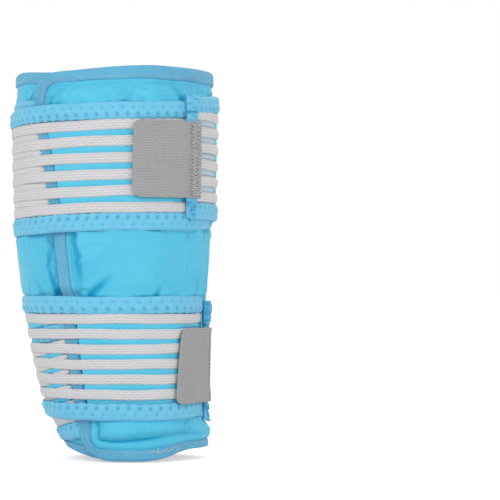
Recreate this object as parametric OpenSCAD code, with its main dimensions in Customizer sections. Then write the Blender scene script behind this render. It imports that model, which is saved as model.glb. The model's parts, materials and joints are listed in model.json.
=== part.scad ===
// Cold compression wrap for the lower leg: a gel pad wound once round the shin and calf, held shut by
// two straps of elastic strips that end in hook tabs. Millimetres. The leg's axis runs up +Z through the
// origin, the lower rim stands at z = 0 and the front of the leg looks towards -Y.

/* [Leg shape] */
// Height of the pad from rim to rim
pad_height = 252; // [220:1:300]
// Radius of the skin side at the upper rim
radius_top = 57.5; // [48:0.5:70]
// Radius of the skin side at the lower rim
radius_bottom = 40; // [34:0.5:50]
// How fast the calf swells above the lower rim
taper_power = 2.5; // [1.5:0.1:4]
// Sideways shift of the ankle end
ankle_shift = 14; // [0:0.5:18]
// Forward shift of the ankle end
ankle_forward = 8; // [0:0.5:12]
// How fast the ankle shift dies out above the lower rim
shift_power = 4; // [2:0.1:6]
// Rise of the lower rim away from its lowest point
rim_rise = 6.5; // [0:0.5:10]
// Angle where the lower rim is lowest
rim_lowest = -105; // [-120:1:-90]
// Angle over which the lower rim rises
rim_spread = 70; // [50:1:90]
// How fast the rise dies out above the lower rim
rise_power = 16; // [12:1:24]
// Dip of the upper rim beside the flap's corner
rim_dip = 4.2; // [0:0.2:6]
// Angle where the upper rim is lowest
dip_angle = -125; // [-135:1:-110]
// Angle over which the upper rim dips
dip_spread = 38; // [25:1:50]
// How far the upper rim stands off at both sides
rim_flare = 4; // [0:0.5:5]
// How far the lower rim stands off on the right
rim_hang = 5; // [0:0.5:6]
// Narrowing under the lower strap
squeeze = 2.4; // [0:0.2:3]
// Sideways shift below the upper strap
waist_shift = 1; // [0:0.2:2]

/* [Pad] */
// Thickness of the lining on the skin side
lining_thick = 1.2; // [0.8:0.1:2]
// Thickness of the nylon cover
cover_thick = 1; // [0.6:0.1:2]
// Gel thickness between the straps
gel_free = 6.2; // [3:0.1:9]
// Gel thickness under the straps
gel_pressed = 3.6; // [2:0.1:6]
// Width of the binding round the pad's rim
binding_width = 9; // [6:0.5:12]
// Thickness of the binding tape
binding_thick = 0.9; // [0.6:0.1:1.5]
// Angle of the fold beside the front flap
flap_hinge = -40; // [-50:1:-30]
// Angle of the seam on the right side
seam_right = 44; // [30:1:60]
// Angle of the seam at the back
seam_back = 128; // [110:1:140]
// Angle of the fold of the inner end
inner_hinge = 200; // [190:1:206]
// Angle where the inner end stops beneath the flap
inner_stop = 284; // [270:1:290]

/* [Front flap] */
// Angle of the flap's edge where it stands nearest the front
flap_edge = -125; // [-132:1:-120]
// How far the edge bows back towards both rims, in degrees
flap_bow = 13.5; // [0:0.5:16]
// Height of the edge's nearest point
flap_bow_height = 90; // [70:1:150]
// Radius of the flap's upper corner
upper_corner = 20; // [11:0.5:20]
// Radius of the flap's lower corner
lower_corner = 14; // [11:0.5:20]

/* [Straps] */
// Width of each elastic strip of the upper strap
upper_strip = 7; // [5:0.1:8]
// Open gap between the strips of the upper strap
upper_gap = 3.5; // [2:0.1:4]
// Width of each elastic strip of the lower strap
lower_strip = 6.6; // [5:0.1:7.5]
// Open gap between the strips of the lower strap
lower_gap = 3; // [2:0.1:4]
// Open gap above the lower strap's bottom edge tape
lower_edge_gap = 2.5; // [0.5:0.1:4]
// Thickness of the elastic strips
strip_thick = 1.5; // [1:0.1:2]
// Width of the tape along the straps' edges
edge_width = 11; // [8:0.5:12]
// Thickness of the tape along the straps' edges
edge_thick = 2.2; // [1.6:0.1:3]
// Height of the upper strap's middle at the front
upper_height = 187; // [170:1:190]
// Rise of the upper strap per degree towards the right
upper_slope = 0.03; // [0:0.01:0.05]
// Height of the lower strap's middle at the front
lower_height = 65.4; // [58:0.2:75]
// Height of the upper hook strap's middle
upper_hook_height = 195; // [185:1:200]
// Height of the lower hook strap's middle
lower_hook_height = 62; // [60:1:70]
// Fall of the upper anchor run towards the left
upper_anchor_fall = 4.6; // [0:0.1:8]
// Dip of the lower anchor run behind the left side
lower_anchor_dip = 20.8; // [0:0.1:22]
// Angle where the landing straps are sewn to the pad's back
landing_sewn = 92; // [80:1:110]
// Angle where the landing straps leave the pad
landing_hinge = 164; // [158:1:170]
// Angle where the landing straps end
landing_tip = 344; // [336:1:345]
// Angle where the hook straps leave the pad
hook_hinge = 44; // [36:1:50]
// Gap between the ends of the anchor runs and the flap's edge, in degrees
anchor_short = 3; // [2:0.5:6]

/* [Hook tabs] */
// Angle where the upper hook strap ends
upper_hook_end = -50; // [-54:1:-40]
// Angle where the lower hook strap ends
lower_hook_end = -14; // [-24:1:-8]
// Angle of the sewn foot of each tab
tab_foot = 10; // [6:1:14]
// Angle of the free part of the upper tab
upper_tab_reach = 31; // [25:1:40]
// Angle of the free part of the lower tab
lower_tab_reach = 40; // [25:1:42]
// Height of the tabs
tab_height = 49; // [40:1:54]
// Gap between the upper tab and the edge tape above it
tab_margin = 0.7; // [0.4:0.1:2]
// Lap of the lower tab over the edge tape below it
tab_lap = 1.3; // [0:0.1:1.8]
// Thickness of the tab's plate
tab_thick = 1.2; // [0.8:0.1:2]
// Thickness of the field of hooks
hooks_thick = 0.8; // [0.5:0.1:1.2]
// Margin of the tab round the field of hooks
hooks_margin = 2.5; // [1:0.1:5]
// Width of the sewing thread
thread = 0.9; // [0.5:0.1:1.2]

/* [Clearances] */
// Gap between pieces that part from each other
part_gap = 0.4; // [0.3:0.05:0.8]
// Gap between pieces sewn together
sewn_gap = 0.1; // [0.05:0.01:0.2]
// Room inside the folded binding on each side of the cover's edge
fold_room = 0.4; // [0.3:0.05:0.6]
// Half of the slit at each fold, in degrees
fold_slit = 0.5; // [0.4:0.05:1]

/* [Hidden] */
strips = 6;
step = 12;
strip_width = [upper_strip, lower_strip];
strip_space = [upper_gap, lower_gap];
strip_rest = [sewn_gap, lower_edge_gap];
strap_half = [
    for (s = [0, 1])
        edge_width + sewn_gap / 2
            + (strips * strip_width[s] + (strips - 1) * strip_space[s] + strip_rest[s]) / 2
];
hook_height = [upper_hook_height, lower_hook_height];
hook_end = [upper_hook_end, lower_hook_end];
tab_reach = [upper_tab_reach, lower_tab_reach];
tip_tape = 5;
tip_thick = edge_thick - strip_thick - sewn_gap;
tall_rows = 4;
flare_angle = 8;
hang_angle = 5;
side_power = 6;

// Offsets of the pad's layers from the skin
cover_low = lining_thick + sewn_gap;
margin_top = cover_low + cover_thick + fold_room;
flange_top = cover_low - fold_room;
rim_top = margin_top + binding_thick;
pad_pressed = cover_low + gel_pressed + cover_thick;
flap_lift = rim_top + part_gap + 0.4;

// Offsets of the straps from the skin
anchor_off = pad_pressed + part_gap;
landing_left = anchor_off + edge_thick + part_gap;
landing_front = flap_lift + pad_pressed + part_gap;
landing_right = anchor_off + 0.2;
hook_lift = edge_thick + part_gap;

// Heights of the pad's rows of points
rim_inset = binding_thick + sewn_gap;
pressed_low = max(lower_height, lower_hook_height) + strap_half[1] + 0.4;
pressed_high = min(upper_height, upper_hook_height - upper_anchor_fall) - strap_half[0] - 0.6;
middle = (pressed_low + pressed_high) / 2;
swell = min(6, (pressed_high - pressed_low) / 3);
lining_low = binding_width + 1.2;
squeeze_low = lining_low + 5.8;
squeeze_full = squeeze_low + 10;
hang_top = squeeze_full - 2;
hang_deep = 9;
flare_low = pad_height - lining_low - 5.8;
cover_rows = [
    rim_inset, lining_low, squeeze_low, squeeze_low + 5, squeeze_full, lower_height, pressed_low,
    pressed_low + swell, middle, pressed_high - swell, pressed_high, upper_height,
    mix(upper_height, pad_height - 28, 0.5), pad_height - 28, flare_low, pad_height - lining_low,
    pad_height - mix(lining_low, rim_inset, 0.5), pad_height - rim_inset
];
lining_row = len(cover_rows) - 3;
lining_rows = [for (i = [1 : lining_row]) cover_rows[i]];
gel_rows = [mix(lining_low, cover_rows[2], 0.7), for (i = [2 : lining_row - 1]) cover_rows[i]];
last_gel = len(gel_rows) - 1;

// A gel pack lies just above the lining and thins out to its sealed edge
pack_low = lining_thick + sewn_gap / 2;
pack_edge = 0.12;
function pack_thick(i, at_side, full) =
    at_side || i == 0 || i == last_gel ? pack_edge : max(pack_edge, full - 3 * sewn_gap);

function ramp(t) = let (u = min(1, max(0, t))) u * u * (3 - 2 * u);
function mix(a, b, t) = a + (b - a) * t;
function fall(z) = min(1, max(0, 1 - z / pad_height));
function skin_radius(z) =
    radius_bottom + (radius_top - radius_bottom) * (1 - pow(fall(z), taper_power))
        - squeeze * ramp((pressed_low + swell - z) / swell)
            * ramp((z - squeeze_low) / (squeeze_full - squeeze_low));
function axis_x(z) =
    ankle_shift * pow(fall(z), shift_power) - waist_shift * ramp((pressed_high - z) / swell);
function axis_y(z) = -ankle_forward * pow(fall(z), shift_power);

// Rise of a point above its height in the flat pad, where the rims wave
function turned(a, from) = abs((a - from + 540) % 360 - 180);
function wave(a, z) =
    rim_rise * ramp(turned(a, rim_lowest) / rim_spread) * pow(fall(z), rise_power)
        - rim_dip * exp(-pow(turned(a, dip_angle) / dip_spread, 2)) * pow(1 - fall(z), rise_power);

// How far the rims stand off the leg at the sides
function stand_off(a, z) =
    rim_flare * pow(cos(a - flare_angle), side_power)
            * ramp((z - flare_low) / (pad_height - lining_low - flare_low))
        + rim_hang * pow(max(0, cos(a - hang_angle)), side_power) * ramp((hang_top - z) / hang_deep);

// Point at an angle and height, pushed out from the skin
function on_leg(a, z, off) =
    let (r = skin_radius(z) + stand_off(a, z) + off)
    [axis_x(z) + r * cos(a), axis_y(z) + r * sin(a), z + wave(a, z)];

// Degrees that a length takes round the leg
function degrees(length, z) = length / ((skin_radius(z) + 2) * PI / 180);

// How far a rounded corner pulls the edge in at a distance from the rim
function corner_pull(t, r) = t >= r ? 0 : r - sqrt(max(0, pow(r, 2) - pow(r - max(0, t), 2)));

// Angle of the flap's edge without and with its corners
function bow_angle(z) = flap_edge - flap_bow * pow((z - flap_bow_height) / (pad_height / 2), 2);
function edge_pull(z) = z < pad_height / 2
    ? corner_pull(z - binding_thick, lower_corner)
    : corner_pull(pad_height - binding_thick - z, upper_corner);
function edge_angle(z) = bow_angle(z) + degrees(edge_pull(z), z);

// Lift of the flap over the inner end
function lift(a) = flap_lift * ramp((flap_hinge - 6 - a) / (flap_hinge - inner_stop + 348));

// Columns of the three panels, from the smallest angle to the largest
flap_cols = 11;
even_col = 5;
flap_even = flap_edge + 16;
function flap_angle(j, z) = j == 0
    ? edge_angle(z) + degrees(fold_room, z)
    : j < even_col
        ? mix(edge_angle(z) + degrees(binding_width + 0.6, z), flap_even, (j - 1) / (even_col - 1))
        : mix(flap_even, flap_hinge - fold_slit, (j - even_col) / (flap_cols - even_col));
back_cols = round((inner_hinge - flap_hinge) / step);
function back_angle(j) = mix(flap_hinge + fold_slit, inner_hinge - fold_slit, j / back_cols);
inner_cols = 9;
function pocket_stop(z) = bow_angle(z) + 360 - 4;
function inner_angle(j, z) =
    j <= 3
        ? mix(inner_hinge + fold_slit, pocket_stop(z), j / 3)
        : j < inner_cols
            ? mix(pocket_stop(z), inner_stop - degrees(binding_width + 0.6, z), (j - 3) / (inner_cols - 4))
            : inner_stop - degrees(sewn_gap, z);

// Share of the full gel thickness across a pocket and up the pad
function pocket(a, from, to) = ramp((a - from) / (to - from) / 0.3) * ramp((to - a) / (to - from) / 0.3);
function gel_share(z) = ramp((z - lining_low) / 14) * ramp((pad_height - lining_low - z) / 14);
function pressed(z) = max(ramp((pressed_low - z) / swell + 1), ramp((z - pressed_high) / swell + 1));
function gel_full(z) = mix(gel_free, gel_pressed, pressed(z)) * gel_share(z);
function flap_gel(a, z) =
    gel_full(z) * pocket(a, edge_angle(z) + degrees(binding_width + 0.6, z), flap_hinge);
function back_gel(a, z) = gel_full(z) * (
    a < seam_right
        ? pocket(a, flap_hinge, seam_right)
        : a < seam_back ? pocket(a, seam_right, seam_back) : pocket(a, seam_back, inner_hinge)
);
function inner_gel(a, z) = a > pocket_stop(z) ? 0 : gel_full(z) * pocket(a, inner_hinge, pocket_stop(z));

// Offsets of the landing and hook straps along their way
function landing_off(a) = a < inner_hinge
    ? landing_left
    : a < 300
        ? mix(landing_left, landing_front, ramp((a - inner_hinge) / 24))
        : mix(landing_front, landing_right, ramp((a - 300) / (landing_tip - 300)));
function hook_off(a) = a > landing_tip - 354
    ? mix(
        landing_right + hook_lift,
        anchor_off,
        ramp((a - landing_tip + 354) / (hook_hinge - landing_tip + 354))
    )
    : landing_off(min(landing_tip, a + 360)) + hook_lift;

// Heights of the middles of the straps along their way
function landing_z(s, a) = s == 0 ? upper_height + upper_slope * (a - 270) : lower_height;
function anchor_z(s, a) = s == 0
    ? upper_hook_height - upper_anchor_fall * (a - hook_hinge) / (inner_hinge - hook_hinge)
    : lower_hook_height - lower_anchor_dip * sin(0.75 * (a - hook_hinge));
function hook_z(s, a) = hook_height[s];

// Bottom of a strip, counted from the top of its strap, from the strap's middle
function strip_low(s, k) =
    strap_half[s] - edge_width - sewn_gap - (k + 1) * strip_width[s] - k * strip_space[s];

// Angle where an anchor run ends at a height, just short of the flap's edge
function anchor_stop(z) = bow_angle(z) + 360 - anchor_short;

// Even angles between two ends
function spread(from, to) =
    let (n = max(1, ceil((to - from) / step - 0.1)))
    [for (j = [0 : n]) mix(from, to, j / n)];

// Even angles after a foot of its own width
function reach(from, to, foot) = foot > 0 ? concat([from], spread(from + foot, to)) : spread(from, to);

// Two triangles of a face with four corners
function two(a, b, c, d) = [[a, b, c], [a, c, d]];

// Closed sheet between an inner and an outer grid of points; rows run up, columns round the leg
module sheet(inner, outer) {
    rows = len(inner) - 1;
    cols = len(inner[0]) - 1;
    wide = cols + 1;
    base = (rows + 1) * wide;
    polyhedron(
        points = concat([for (r = inner) each r], [for (r = outer) each r]),
        faces = concat(
            [for (i = [0 : rows - 1], j = [0 : cols - 1]) let (p = i * wide + j, q = base + p)
                each two(q, q + wide, q + wide + 1, q + 1)],
            [for (i = [0 : rows - 1], j = [0 : cols - 1]) let (p = i * wide + j)
                each two(p, p + 1, p + wide + 1, p + wide)],
            [for (j = [0 : cols - 1]) let (q = base + j) each two(q, q + 1, j + 1, j)],
            [for (j = [0 : cols - 1]) let (p = rows * wide + j, q = base + p) each two(q + 1, q, p, p + 1)],
            [for (i = [0 : rows - 1]) let (p = i * wide, q = base + p)
                each two(q + wide, q, p, p + wide)],
            [for (i = [0 : rows - 1]) let (p = i * wide + cols, q = base + p)
                each two(q, q + wide, p + wide, p)]
        )
    );
}

// Band round the leg: a list of angles, its lower and upper height and its inner and outer offset
module band(angles, low, high, inner, outer, rows = 1) {
    sheet(
        [for (i = [0 : rows]) [for (a = angles) on_leg(a, mix(low(a), high(a), i / rows), inner(a))]],
        [for (i = [0 : rows]) [for (a = angles) on_leg(a, mix(low(a), high(a), i / rows), outer(a))]]
    );
}

// Elastic strips of a strap between two angles
module strip_set(s, from, to, mid, off, foot = 0) {
    for (k = [0 : strips - 1]) {
        stop = is_undef(to) ? anchor_stop(mid(s, 220) + strip_low(s, k) + strip_width[s]) : to;
        band(
            reach(from, stop, foot),
            function(a) mid(s, a) + strip_low(s, k),
            function(a) mid(s, a) + strip_low(s, k) + strip_width[s],
            function(a) off(a),
            function(a) off(a) + strip_thick
        );
    }
}

// Tape along the upper (side 1) or lower (side -1) edge of a strap
module edge_tape(s, side, from, to, mid, off, foot = 0) {
    stop = is_undef(to) ? anchor_stop(mid(s, 220) + side * strap_half[s]) : to;
    band(
        reach(from, stop, foot),
        function(a) mid(s, a) + side * strap_half[s] - (side > 0 ? edge_width : 0),
        function(a) mid(s, a) + side * strap_half[s] + (side > 0 ? 0 : edge_width),
        function(a) off(a),
        function(a) off(a) + edge_thick
    );
}

// Tape across the strips near the end of a strap
module end_tape(s, from, to, mid, off, thick) {
    band(
        spread(from, to),
        function(a) mid(s, a) - strap_half[s] + edge_width + sewn_gap,
        function(a) mid(s, a) + strap_half[s] - edge_width - sewn_gap,
        function(a) off(a) + strip_thick + sewn_gap,
        function(a) off(a) + strip_thick + sewn_gap + thick,
        tall_rows
    );
}

// Folded tape round an edge: a path of [angle, height, inward round the leg, inward up] and a lift
module folded_tape(path, raise) {
    profile = [
        [binding_width, margin_top], [binding_width, rim_top],
        [-binding_thick, rim_top], [-binding_thick, 0],
        [binding_width, 0], [binding_width, flange_top],
        [0, flange_top], [0, margin_top]
    ];
    n = len(profile);
    last = (len(path) - 1) * n;
    points = [
        for (p = path, d = profile)
            let (a = p[0] + degrees(d[0] * p[2], p[1]))
            on_leg(a, p[1] + d[0] * p[3], d[1] + raise(a))
    ];
    caps = [[0, 1, 2, 7], [7, 2, 3, 6], [6, 3, 4, 5]];
    polyhedron(
        points = points,
        faces = concat(
            [for (i = [0 : len(path) - 2], k = [0 : n - 1])
                each two(i * n + k, (i + 1) * n + k, (i + 1) * n + (k + 1) % n, i * n + (k + 1) % n)],
            [for (c = caps) each two(c[0], c[1], c[2], c[3])],
            [for (c = caps) each two(last + c[3], last + c[2], last + c[1], last + c[0])]
        )
    );
}

// Paths of the rim: along the top, round a free end and back along the bottom
top_z = pad_height - binding_thick;
low_z = binding_thick;
function lean(z) = degrees(1, z) == 0 ? 0 : (bow_angle(z + 1) - bow_angle(z - 1)) / 2 / degrees(1, z);
function turn(z, side) = let (l = lean(z), n = sqrt(1 + l * l)) [side / n, -side * l / n];
flap_path = concat(
    [for (j = [flap_cols : -1 : even_col]) [flap_angle(j, top_z), top_z, 0, -1]],
    [for (t = [1, 2]) [mix(flap_even, edge_angle(top_z), t / 3), top_z, 0, -1]],
    [for (t = [0 : 18 : 72]) let (z = top_z - upper_corner * (1 - cos(t)))
        [edge_angle(z), z, sin(t), -cos(t)]],
    [for (i = [lining_row - 1 : -1 : 2]) let (z = cover_rows[i], n = turn(z, 1))
        [edge_angle(z), z, n[0], n[1]]],
    [for (t = [72 : -18 : 0]) let (z = low_z + lower_corner * (1 - cos(t)))
        [edge_angle(z), z, sin(t), cos(t)]],
    [for (t = [2, 1]) [mix(flap_even, edge_angle(low_z), t / 3), low_z, 0, 1]],
    [for (j = [even_col : flap_cols]) [flap_angle(j, low_z), low_z, 0, 1]]
);
inner_path = concat(
    [for (j = [0 : inner_cols - 1]) [inner_angle(j, low_z), low_z, 0, 1]],
    [[inner_stop, low_z, -1, 1]],
    [for (i = [1 : lining_row]) [inner_stop, cover_rows[i], -1, 0]],
    [[inner_stop, top_z, -1, -1]],
    [for (j = [inner_cols - 1 : -1 : 0]) [inner_angle(j, top_z), top_z, 0, -1]]
);

nylon = [0.35, 0.78, 0.91];
tape = [0.44, 0.72, 0.86];
sky = [0.47, 0.80, 0.93];
knit = [0.84, 0.83, 0.84];
grey = [0.63, 0.64, 0.64];
felt = [0.2, 0.24, 0.3];
gel = [0.55, 0.75, 0.95];

// The back panel carries the pockets of the right side, the back and the left side
module back_cover() color(nylon) sheet(
    [for (z = cover_rows) [for (j = [0 : back_cols]) let (a = back_angle(j))
        on_leg(a, z, cover_low + back_gel(a, z))]],
    [for (z = cover_rows) [for (j = [0 : back_cols]) let (a = back_angle(j))
        on_leg(a, z, cover_low + back_gel(a, z) + cover_thick)]]
);
module back_lining() color(felt) sheet(
    [for (z = lining_rows) [for (j = [0 : back_cols]) on_leg(back_angle(j), z, 0)]],
    [for (z = lining_rows) [for (j = [0 : back_cols]) on_leg(back_angle(j), z, lining_thick)]]
);

// One gel pack of the back panel between two columns
module back_pack(first, past) color(gel) {
    angles = [
        mix(back_angle(first), back_angle(first + 1), 0.4),
        for (j = [first + 1 : past - 1]) back_angle(j),
        mix(back_angle(past), back_angle(past - 1), 0.4)
    ];
    last = len(angles) - 1;
    sheet(
        [for (z = gel_rows) [for (a = angles) on_leg(a, z, pack_low)]],
        [for (i = [0 : last_gel]) let (z = gel_rows[i])
            [for (j = [0 : last]) let (a = angles[j])
                on_leg(a, z, pack_low + pack_thick(i, j == 0 || j == last, back_gel(a, z)))]]
    );
}
right_col = round((seam_right - flap_hinge) / step);
rear_col = round((seam_back - flap_hinge) / step);
module right_gel_pack() back_pack(0, right_col);
module rear_gel_pack() back_pack(right_col, rear_col);
module left_gel_pack() back_pack(rear_col, back_cols);
module back_top_binding() color(tape) folded_tape(
    [for (j = [back_cols : -1 : 0]) [back_angle(j), top_z, 0, -1]],
    function(a) 0
);
module back_bottom_binding() color(tape) folded_tape(
    [for (j = [0 : back_cols]) [back_angle(j), low_z, 0, 1]],
    function(a) 0
);

// The front flap laps over the inner end of the pad
module flap_cover() color(nylon) sheet(
    [for (z = cover_rows) [for (j = [0 : flap_cols]) let (a = flap_angle(j, z))
        on_leg(a, z, lift(a) + cover_low + flap_gel(a, z))]],
    [for (z = cover_rows) [for (j = [0 : flap_cols]) let (a = flap_angle(j, z))
        on_leg(a, z, lift(a) + cover_low + flap_gel(a, z) + cover_thick)]]
);
module flap_lining() color(felt) sheet(
    [for (z = lining_rows) [for (j = [1 : flap_cols]) let (a = flap_angle(j, z))
        on_leg(a, z, lift(a))]],
    [for (z = lining_rows) [for (j = [1 : flap_cols]) let (a = flap_angle(j, z))
        on_leg(a, z, lift(a) + lining_thick)]]
);
pack_col = 2;
function flap_pack_angle(j, z) = j == pack_col
    ? mix(flap_angle(j, z), flap_angle(j + 1, z), 0.4)
    : j == flap_cols ? mix(flap_angle(j, z), flap_angle(j - 1, z), 0.4) : flap_angle(j, z);
function flap_pack_lift(j, z) = j == pack_col
    ? lift(flap_angle(j, z))
    : j == flap_cols
        ? mix(lift(flap_angle(j, z)), lift(flap_angle(j - 1, z)), 0.4)
        : lift(flap_angle(j, z));
module front_gel_pack() color(gel) {
    sheet(
        [for (z = gel_rows) [for (j = [pack_col : flap_cols])
            on_leg(flap_pack_angle(j, z), z, flap_pack_lift(j, z) + pack_low)]],
        [for (i = [0 : last_gel]) let (z = gel_rows[i])
            [for (j = [pack_col : flap_cols])
                let (a = flap_pack_angle(j, z), at_side = j == pack_col || j == flap_cols)
                on_leg(a, z, flap_pack_lift(j, z) + pack_low + pack_thick(i, at_side, flap_gel(a, z)))]]
    );
}
module flap_binding() color(tape) folded_tape(flap_path, function(a) lift(a));

// The inner end of the pad: a narrow pocket and a flat tail beneath the flap
module inner_cover() color(nylon) sheet(
    [for (z = cover_rows) [for (j = [0 : inner_cols]) let (a = inner_angle(j, z))
        on_leg(a, z, cover_low + inner_gel(a, z))]],
    [for (z = cover_rows) [for (j = [0 : inner_cols]) let (a = inner_angle(j, z))
        on_leg(a, z, cover_low + inner_gel(a, z) + cover_thick)]]
);
module inner_lining() color(felt) sheet(
    [for (z = lining_rows) [for (j = [0 : inner_cols - 1]) on_leg(inner_angle(j, z), z, 0)]],
    [for (z = lining_rows) [for (j = [0 : inner_cols - 1]) on_leg(inner_angle(j, z), z, lining_thick)]]
);
function inner_pack_angle(j, z) = j == 0
    ? mix(inner_angle(0, z), inner_angle(1, z), 0.4)
    : j == 3 ? mix(inner_angle(3, z), inner_angle(2, z), 0.4) : inner_angle(j, z);
module inner_gel_pack() color(gel) {
    sheet(
        [for (z = gel_rows) [for (j = [0 : 3]) on_leg(inner_pack_angle(j, z), z, pack_low)]],
        [for (i = [0 : last_gel]) let (z = gel_rows[i])
            [for (j = [0 : 3]) let (a = inner_pack_angle(j, z))
                on_leg(a, z, pack_low + pack_thick(i, j == 0 || j == 3, inner_gel(a, z)))]]
    );
}
module inner_binding() color(tape) folded_tape(inner_path, function(a) 0);

// Runs of the hook straps sewn on the pad, behind the leg and on the inner end
anchor_level = function(a) anchor_off;
anchor_mid = function(s, a) anchor_z(s, a);
module anchor_strips(s) color(knit)
    strip_set(s, hook_hinge + fold_slit, inner_hinge - fold_slit, anchor_mid, anchor_level);
module anchor_tapes(s) color(sky) {
    for (side = [-1, 1]) {
        edge_tape(s, side, hook_hinge + fold_slit, inner_hinge - fold_slit, anchor_mid, anchor_level);
    }
}
module anchor_end_strips(s) color(knit)
    strip_set(s, inner_hinge + fold_slit, undef, anchor_mid, anchor_level);
module anchor_end_tapes(s) color(sky) {
    for (side = [-1, 1]) {
        edge_tape(s, side, inner_hinge + fold_slit, undef, anchor_mid, anchor_level);
    }
}

// Landing straps: sewn at the back, passing the left side and the flap to the right
landing_level = function(a) landing_off(a);
landing_mid = function(s, a) landing_z(s, a);
module sewn_strips(s) color(knit)
    strip_set(s, landing_sewn, landing_hinge - fold_slit, landing_mid, landing_level, tip_tape);
module sewn_end(s) color(sky)
    end_tape(s, landing_sewn, landing_sewn + tip_tape, landing_mid, landing_level, tip_thick);
module sewn_tapes(s) color(sky) {
    for (side = [-1, 1]) {
        edge_tape(s, side, landing_sewn, landing_hinge - fold_slit, landing_mid, landing_level);
    }
}
module landing_strips(s) color(knit)
    strip_set(s, landing_hinge + fold_slit, landing_tip, landing_mid, landing_level);
module landing_tape(s, side) color(sky)
    edge_tape(s, side, landing_hinge + fold_slit, landing_tip, landing_mid, landing_level);
module landing_end(s) color(sky)
    end_tape(s, landing_tip - tip_tape, landing_tip, landing_mid, landing_level, tip_thick);

// Hook straps: free from the right side to the front
hook_level = function(a) hook_off(a);
hook_mid = function(s, a) hook_z(s, a);
module hook_strips(s) color(knit)
    strip_set(s, hook_end[s], hook_hinge - fold_slit, hook_mid, hook_level, tab_foot);
module hook_tape(s, side) color(sky)
    edge_tape(s, side, hook_end[s], hook_hinge - fold_slit, hook_mid, hook_level, tab_foot);
module hook_end_tape(s) color(sky)
    end_tape(s, hook_end[s], hook_end[s] + tab_foot, hook_mid, hook_level, binding_thick);

// Hook tabs: a foot sewn over the end of the hook strap and a free plate with hooks beneath
function foot_off(a) = hook_off(a) + strip_thick + binding_thick + 2 * sewn_gap;
function grip_off(a) = landing_off(a + 360) + strip_thick + part_gap;
function tab_off(s, a) = a >= hook_end[s]
    ? foot_off(a)
    : mix(grip_off(a) + hooks_thick + sewn_gap, foot_off(hook_end[s]), ramp((a - hook_end[s] + 14) / 14));
function tab_z(s) = s == 0
    ? landing_z(0, tab_tip(0) + 360) + strap_half[0] - edge_width - tab_margin - tab_height / 2
    : landing_z(1, 300) - strap_half[1] + edge_width - tab_lap + tab_height / 2;
function tab_tip(s) = hook_end[s] - tab_reach[s];
function hooks_spread(s) = spread(tab_tip(s) + degrees(hooks_margin, tab_z(s)), hook_end[s] - 5);
module tab_plate(s, angles) band(
    angles,
    function(a) tab_z(s) - tab_height / 2,
    function(a) tab_z(s) + tab_height / 2,
    function(a) tab_off(s, a),
    function(a) tab_off(s, a) + tab_thick,
    tall_rows
);
module tab_foot_plate(s) color(grey)
    tab_plate(s, [hook_end[s], hook_end[s] + tab_foot]);
module tab(s) color(grey)
    tab_plate(s, concat([tab_tip(s)], hooks_spread(s), [hook_end[s] - 2 * fold_slit]));
module tab_hooks(s) color(felt) band(
    hooks_spread(s),
    function(a) tab_z(s) - tab_height / 2 + hooks_margin,
    function(a) tab_z(s) + tab_height / 2 - hooks_margin,
    function(a) tab_off(s, a) - sewn_gap - hooks_thick,
    function(a) tab_off(s, a) - sewn_gap,
    tall_rows
);

// Zigzag sewing thread that holds the foot of a tab
module tab_thread(s) color(knit) {
    turns = 14;
    from = hook_end[s] + 2;
    to = hook_end[s] + tab_foot - 2;
    rise = (tab_height - 4) / turns;
    start = tab_z(s) - tab_height / 2 + 2;
    side = degrees(thread, tab_z(s));
    near = tab_off(s, hook_end[s]);
    far = tab_off(s, hook_end[s] + tab_foot);
    low = function(a) mix(near, far, (a - hook_end[s]) / tab_foot) + tab_thick + sewn_gap / 2;
    sheet(
        [for (i = [0 : turns]) let (a = i % 2 == 0 ? from : to, z = start + i * rise)
            [on_leg(a, z, low(a)), on_leg(a + side, z, low(a))]],
        [for (i = [0 : turns]) let (a = i % 2 == 0 ? from : to, z = start + i * rise)
            [on_leg(a, z, low(a) + thread / 2), on_leg(a + side, z, low(a) + thread / 2)]]
    );
}

module upper_anchor_strips() anchor_strips(0);
module upper_anchor_tapes() anchor_tapes(0);
module upper_anchor_end_strips() anchor_end_strips(0);
module upper_anchor_end_tapes() anchor_end_tapes(0);
module upper_sewn_strips() sewn_strips(0);
module upper_sewn_tapes() sewn_tapes(0);
module upper_sewn_end() sewn_end(0);
module upper_landing_strips() landing_strips(0);
module upper_landing_top_tape() landing_tape(0, 1);
module upper_landing_bottom_tape() landing_tape(0, -1);
module upper_landing_end() landing_end(0);
module upper_hook_strips() hook_strips(0);
module upper_hook_top_tape() hook_tape(0, 1);
module upper_hook_bottom_tape() hook_tape(0, -1);
module upper_hook_end_tape() hook_end_tape(0);
module upper_tab_foot() tab_foot_plate(0);
module upper_tab_thread() tab_thread(0);
module upper_tab() tab(0);
module upper_tab_hooks() tab_hooks(0);
module lower_anchor_strips() anchor_strips(1);
module lower_anchor_tapes() anchor_tapes(1);
module lower_anchor_end_strips() anchor_end_strips(1);
module lower_anchor_end_tapes() anchor_end_tapes(1);
module lower_sewn_strips() sewn_strips(1);
module lower_sewn_tapes() sewn_tapes(1);
module lower_sewn_end() sewn_end(1);
module lower_landing_strips() landing_strips(1);
module lower_landing_top_tape() landing_tape(1, 1);
module lower_landing_bottom_tape() landing_tape(1, -1);
module lower_landing_end() landing_end(1);
module lower_hook_strips() hook_strips(1);
module lower_hook_top_tape() hook_tape(1, 1);
module lower_hook_bottom_tape() hook_tape(1, -1);
module lower_hook_end_tape() hook_end_tape(1);
module lower_tab_foot() tab_foot_plate(1);
module lower_tab_thread() tab_thread(1);
module lower_tab() tab(1);
module lower_tab_hooks() tab_hooks(1);

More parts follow.
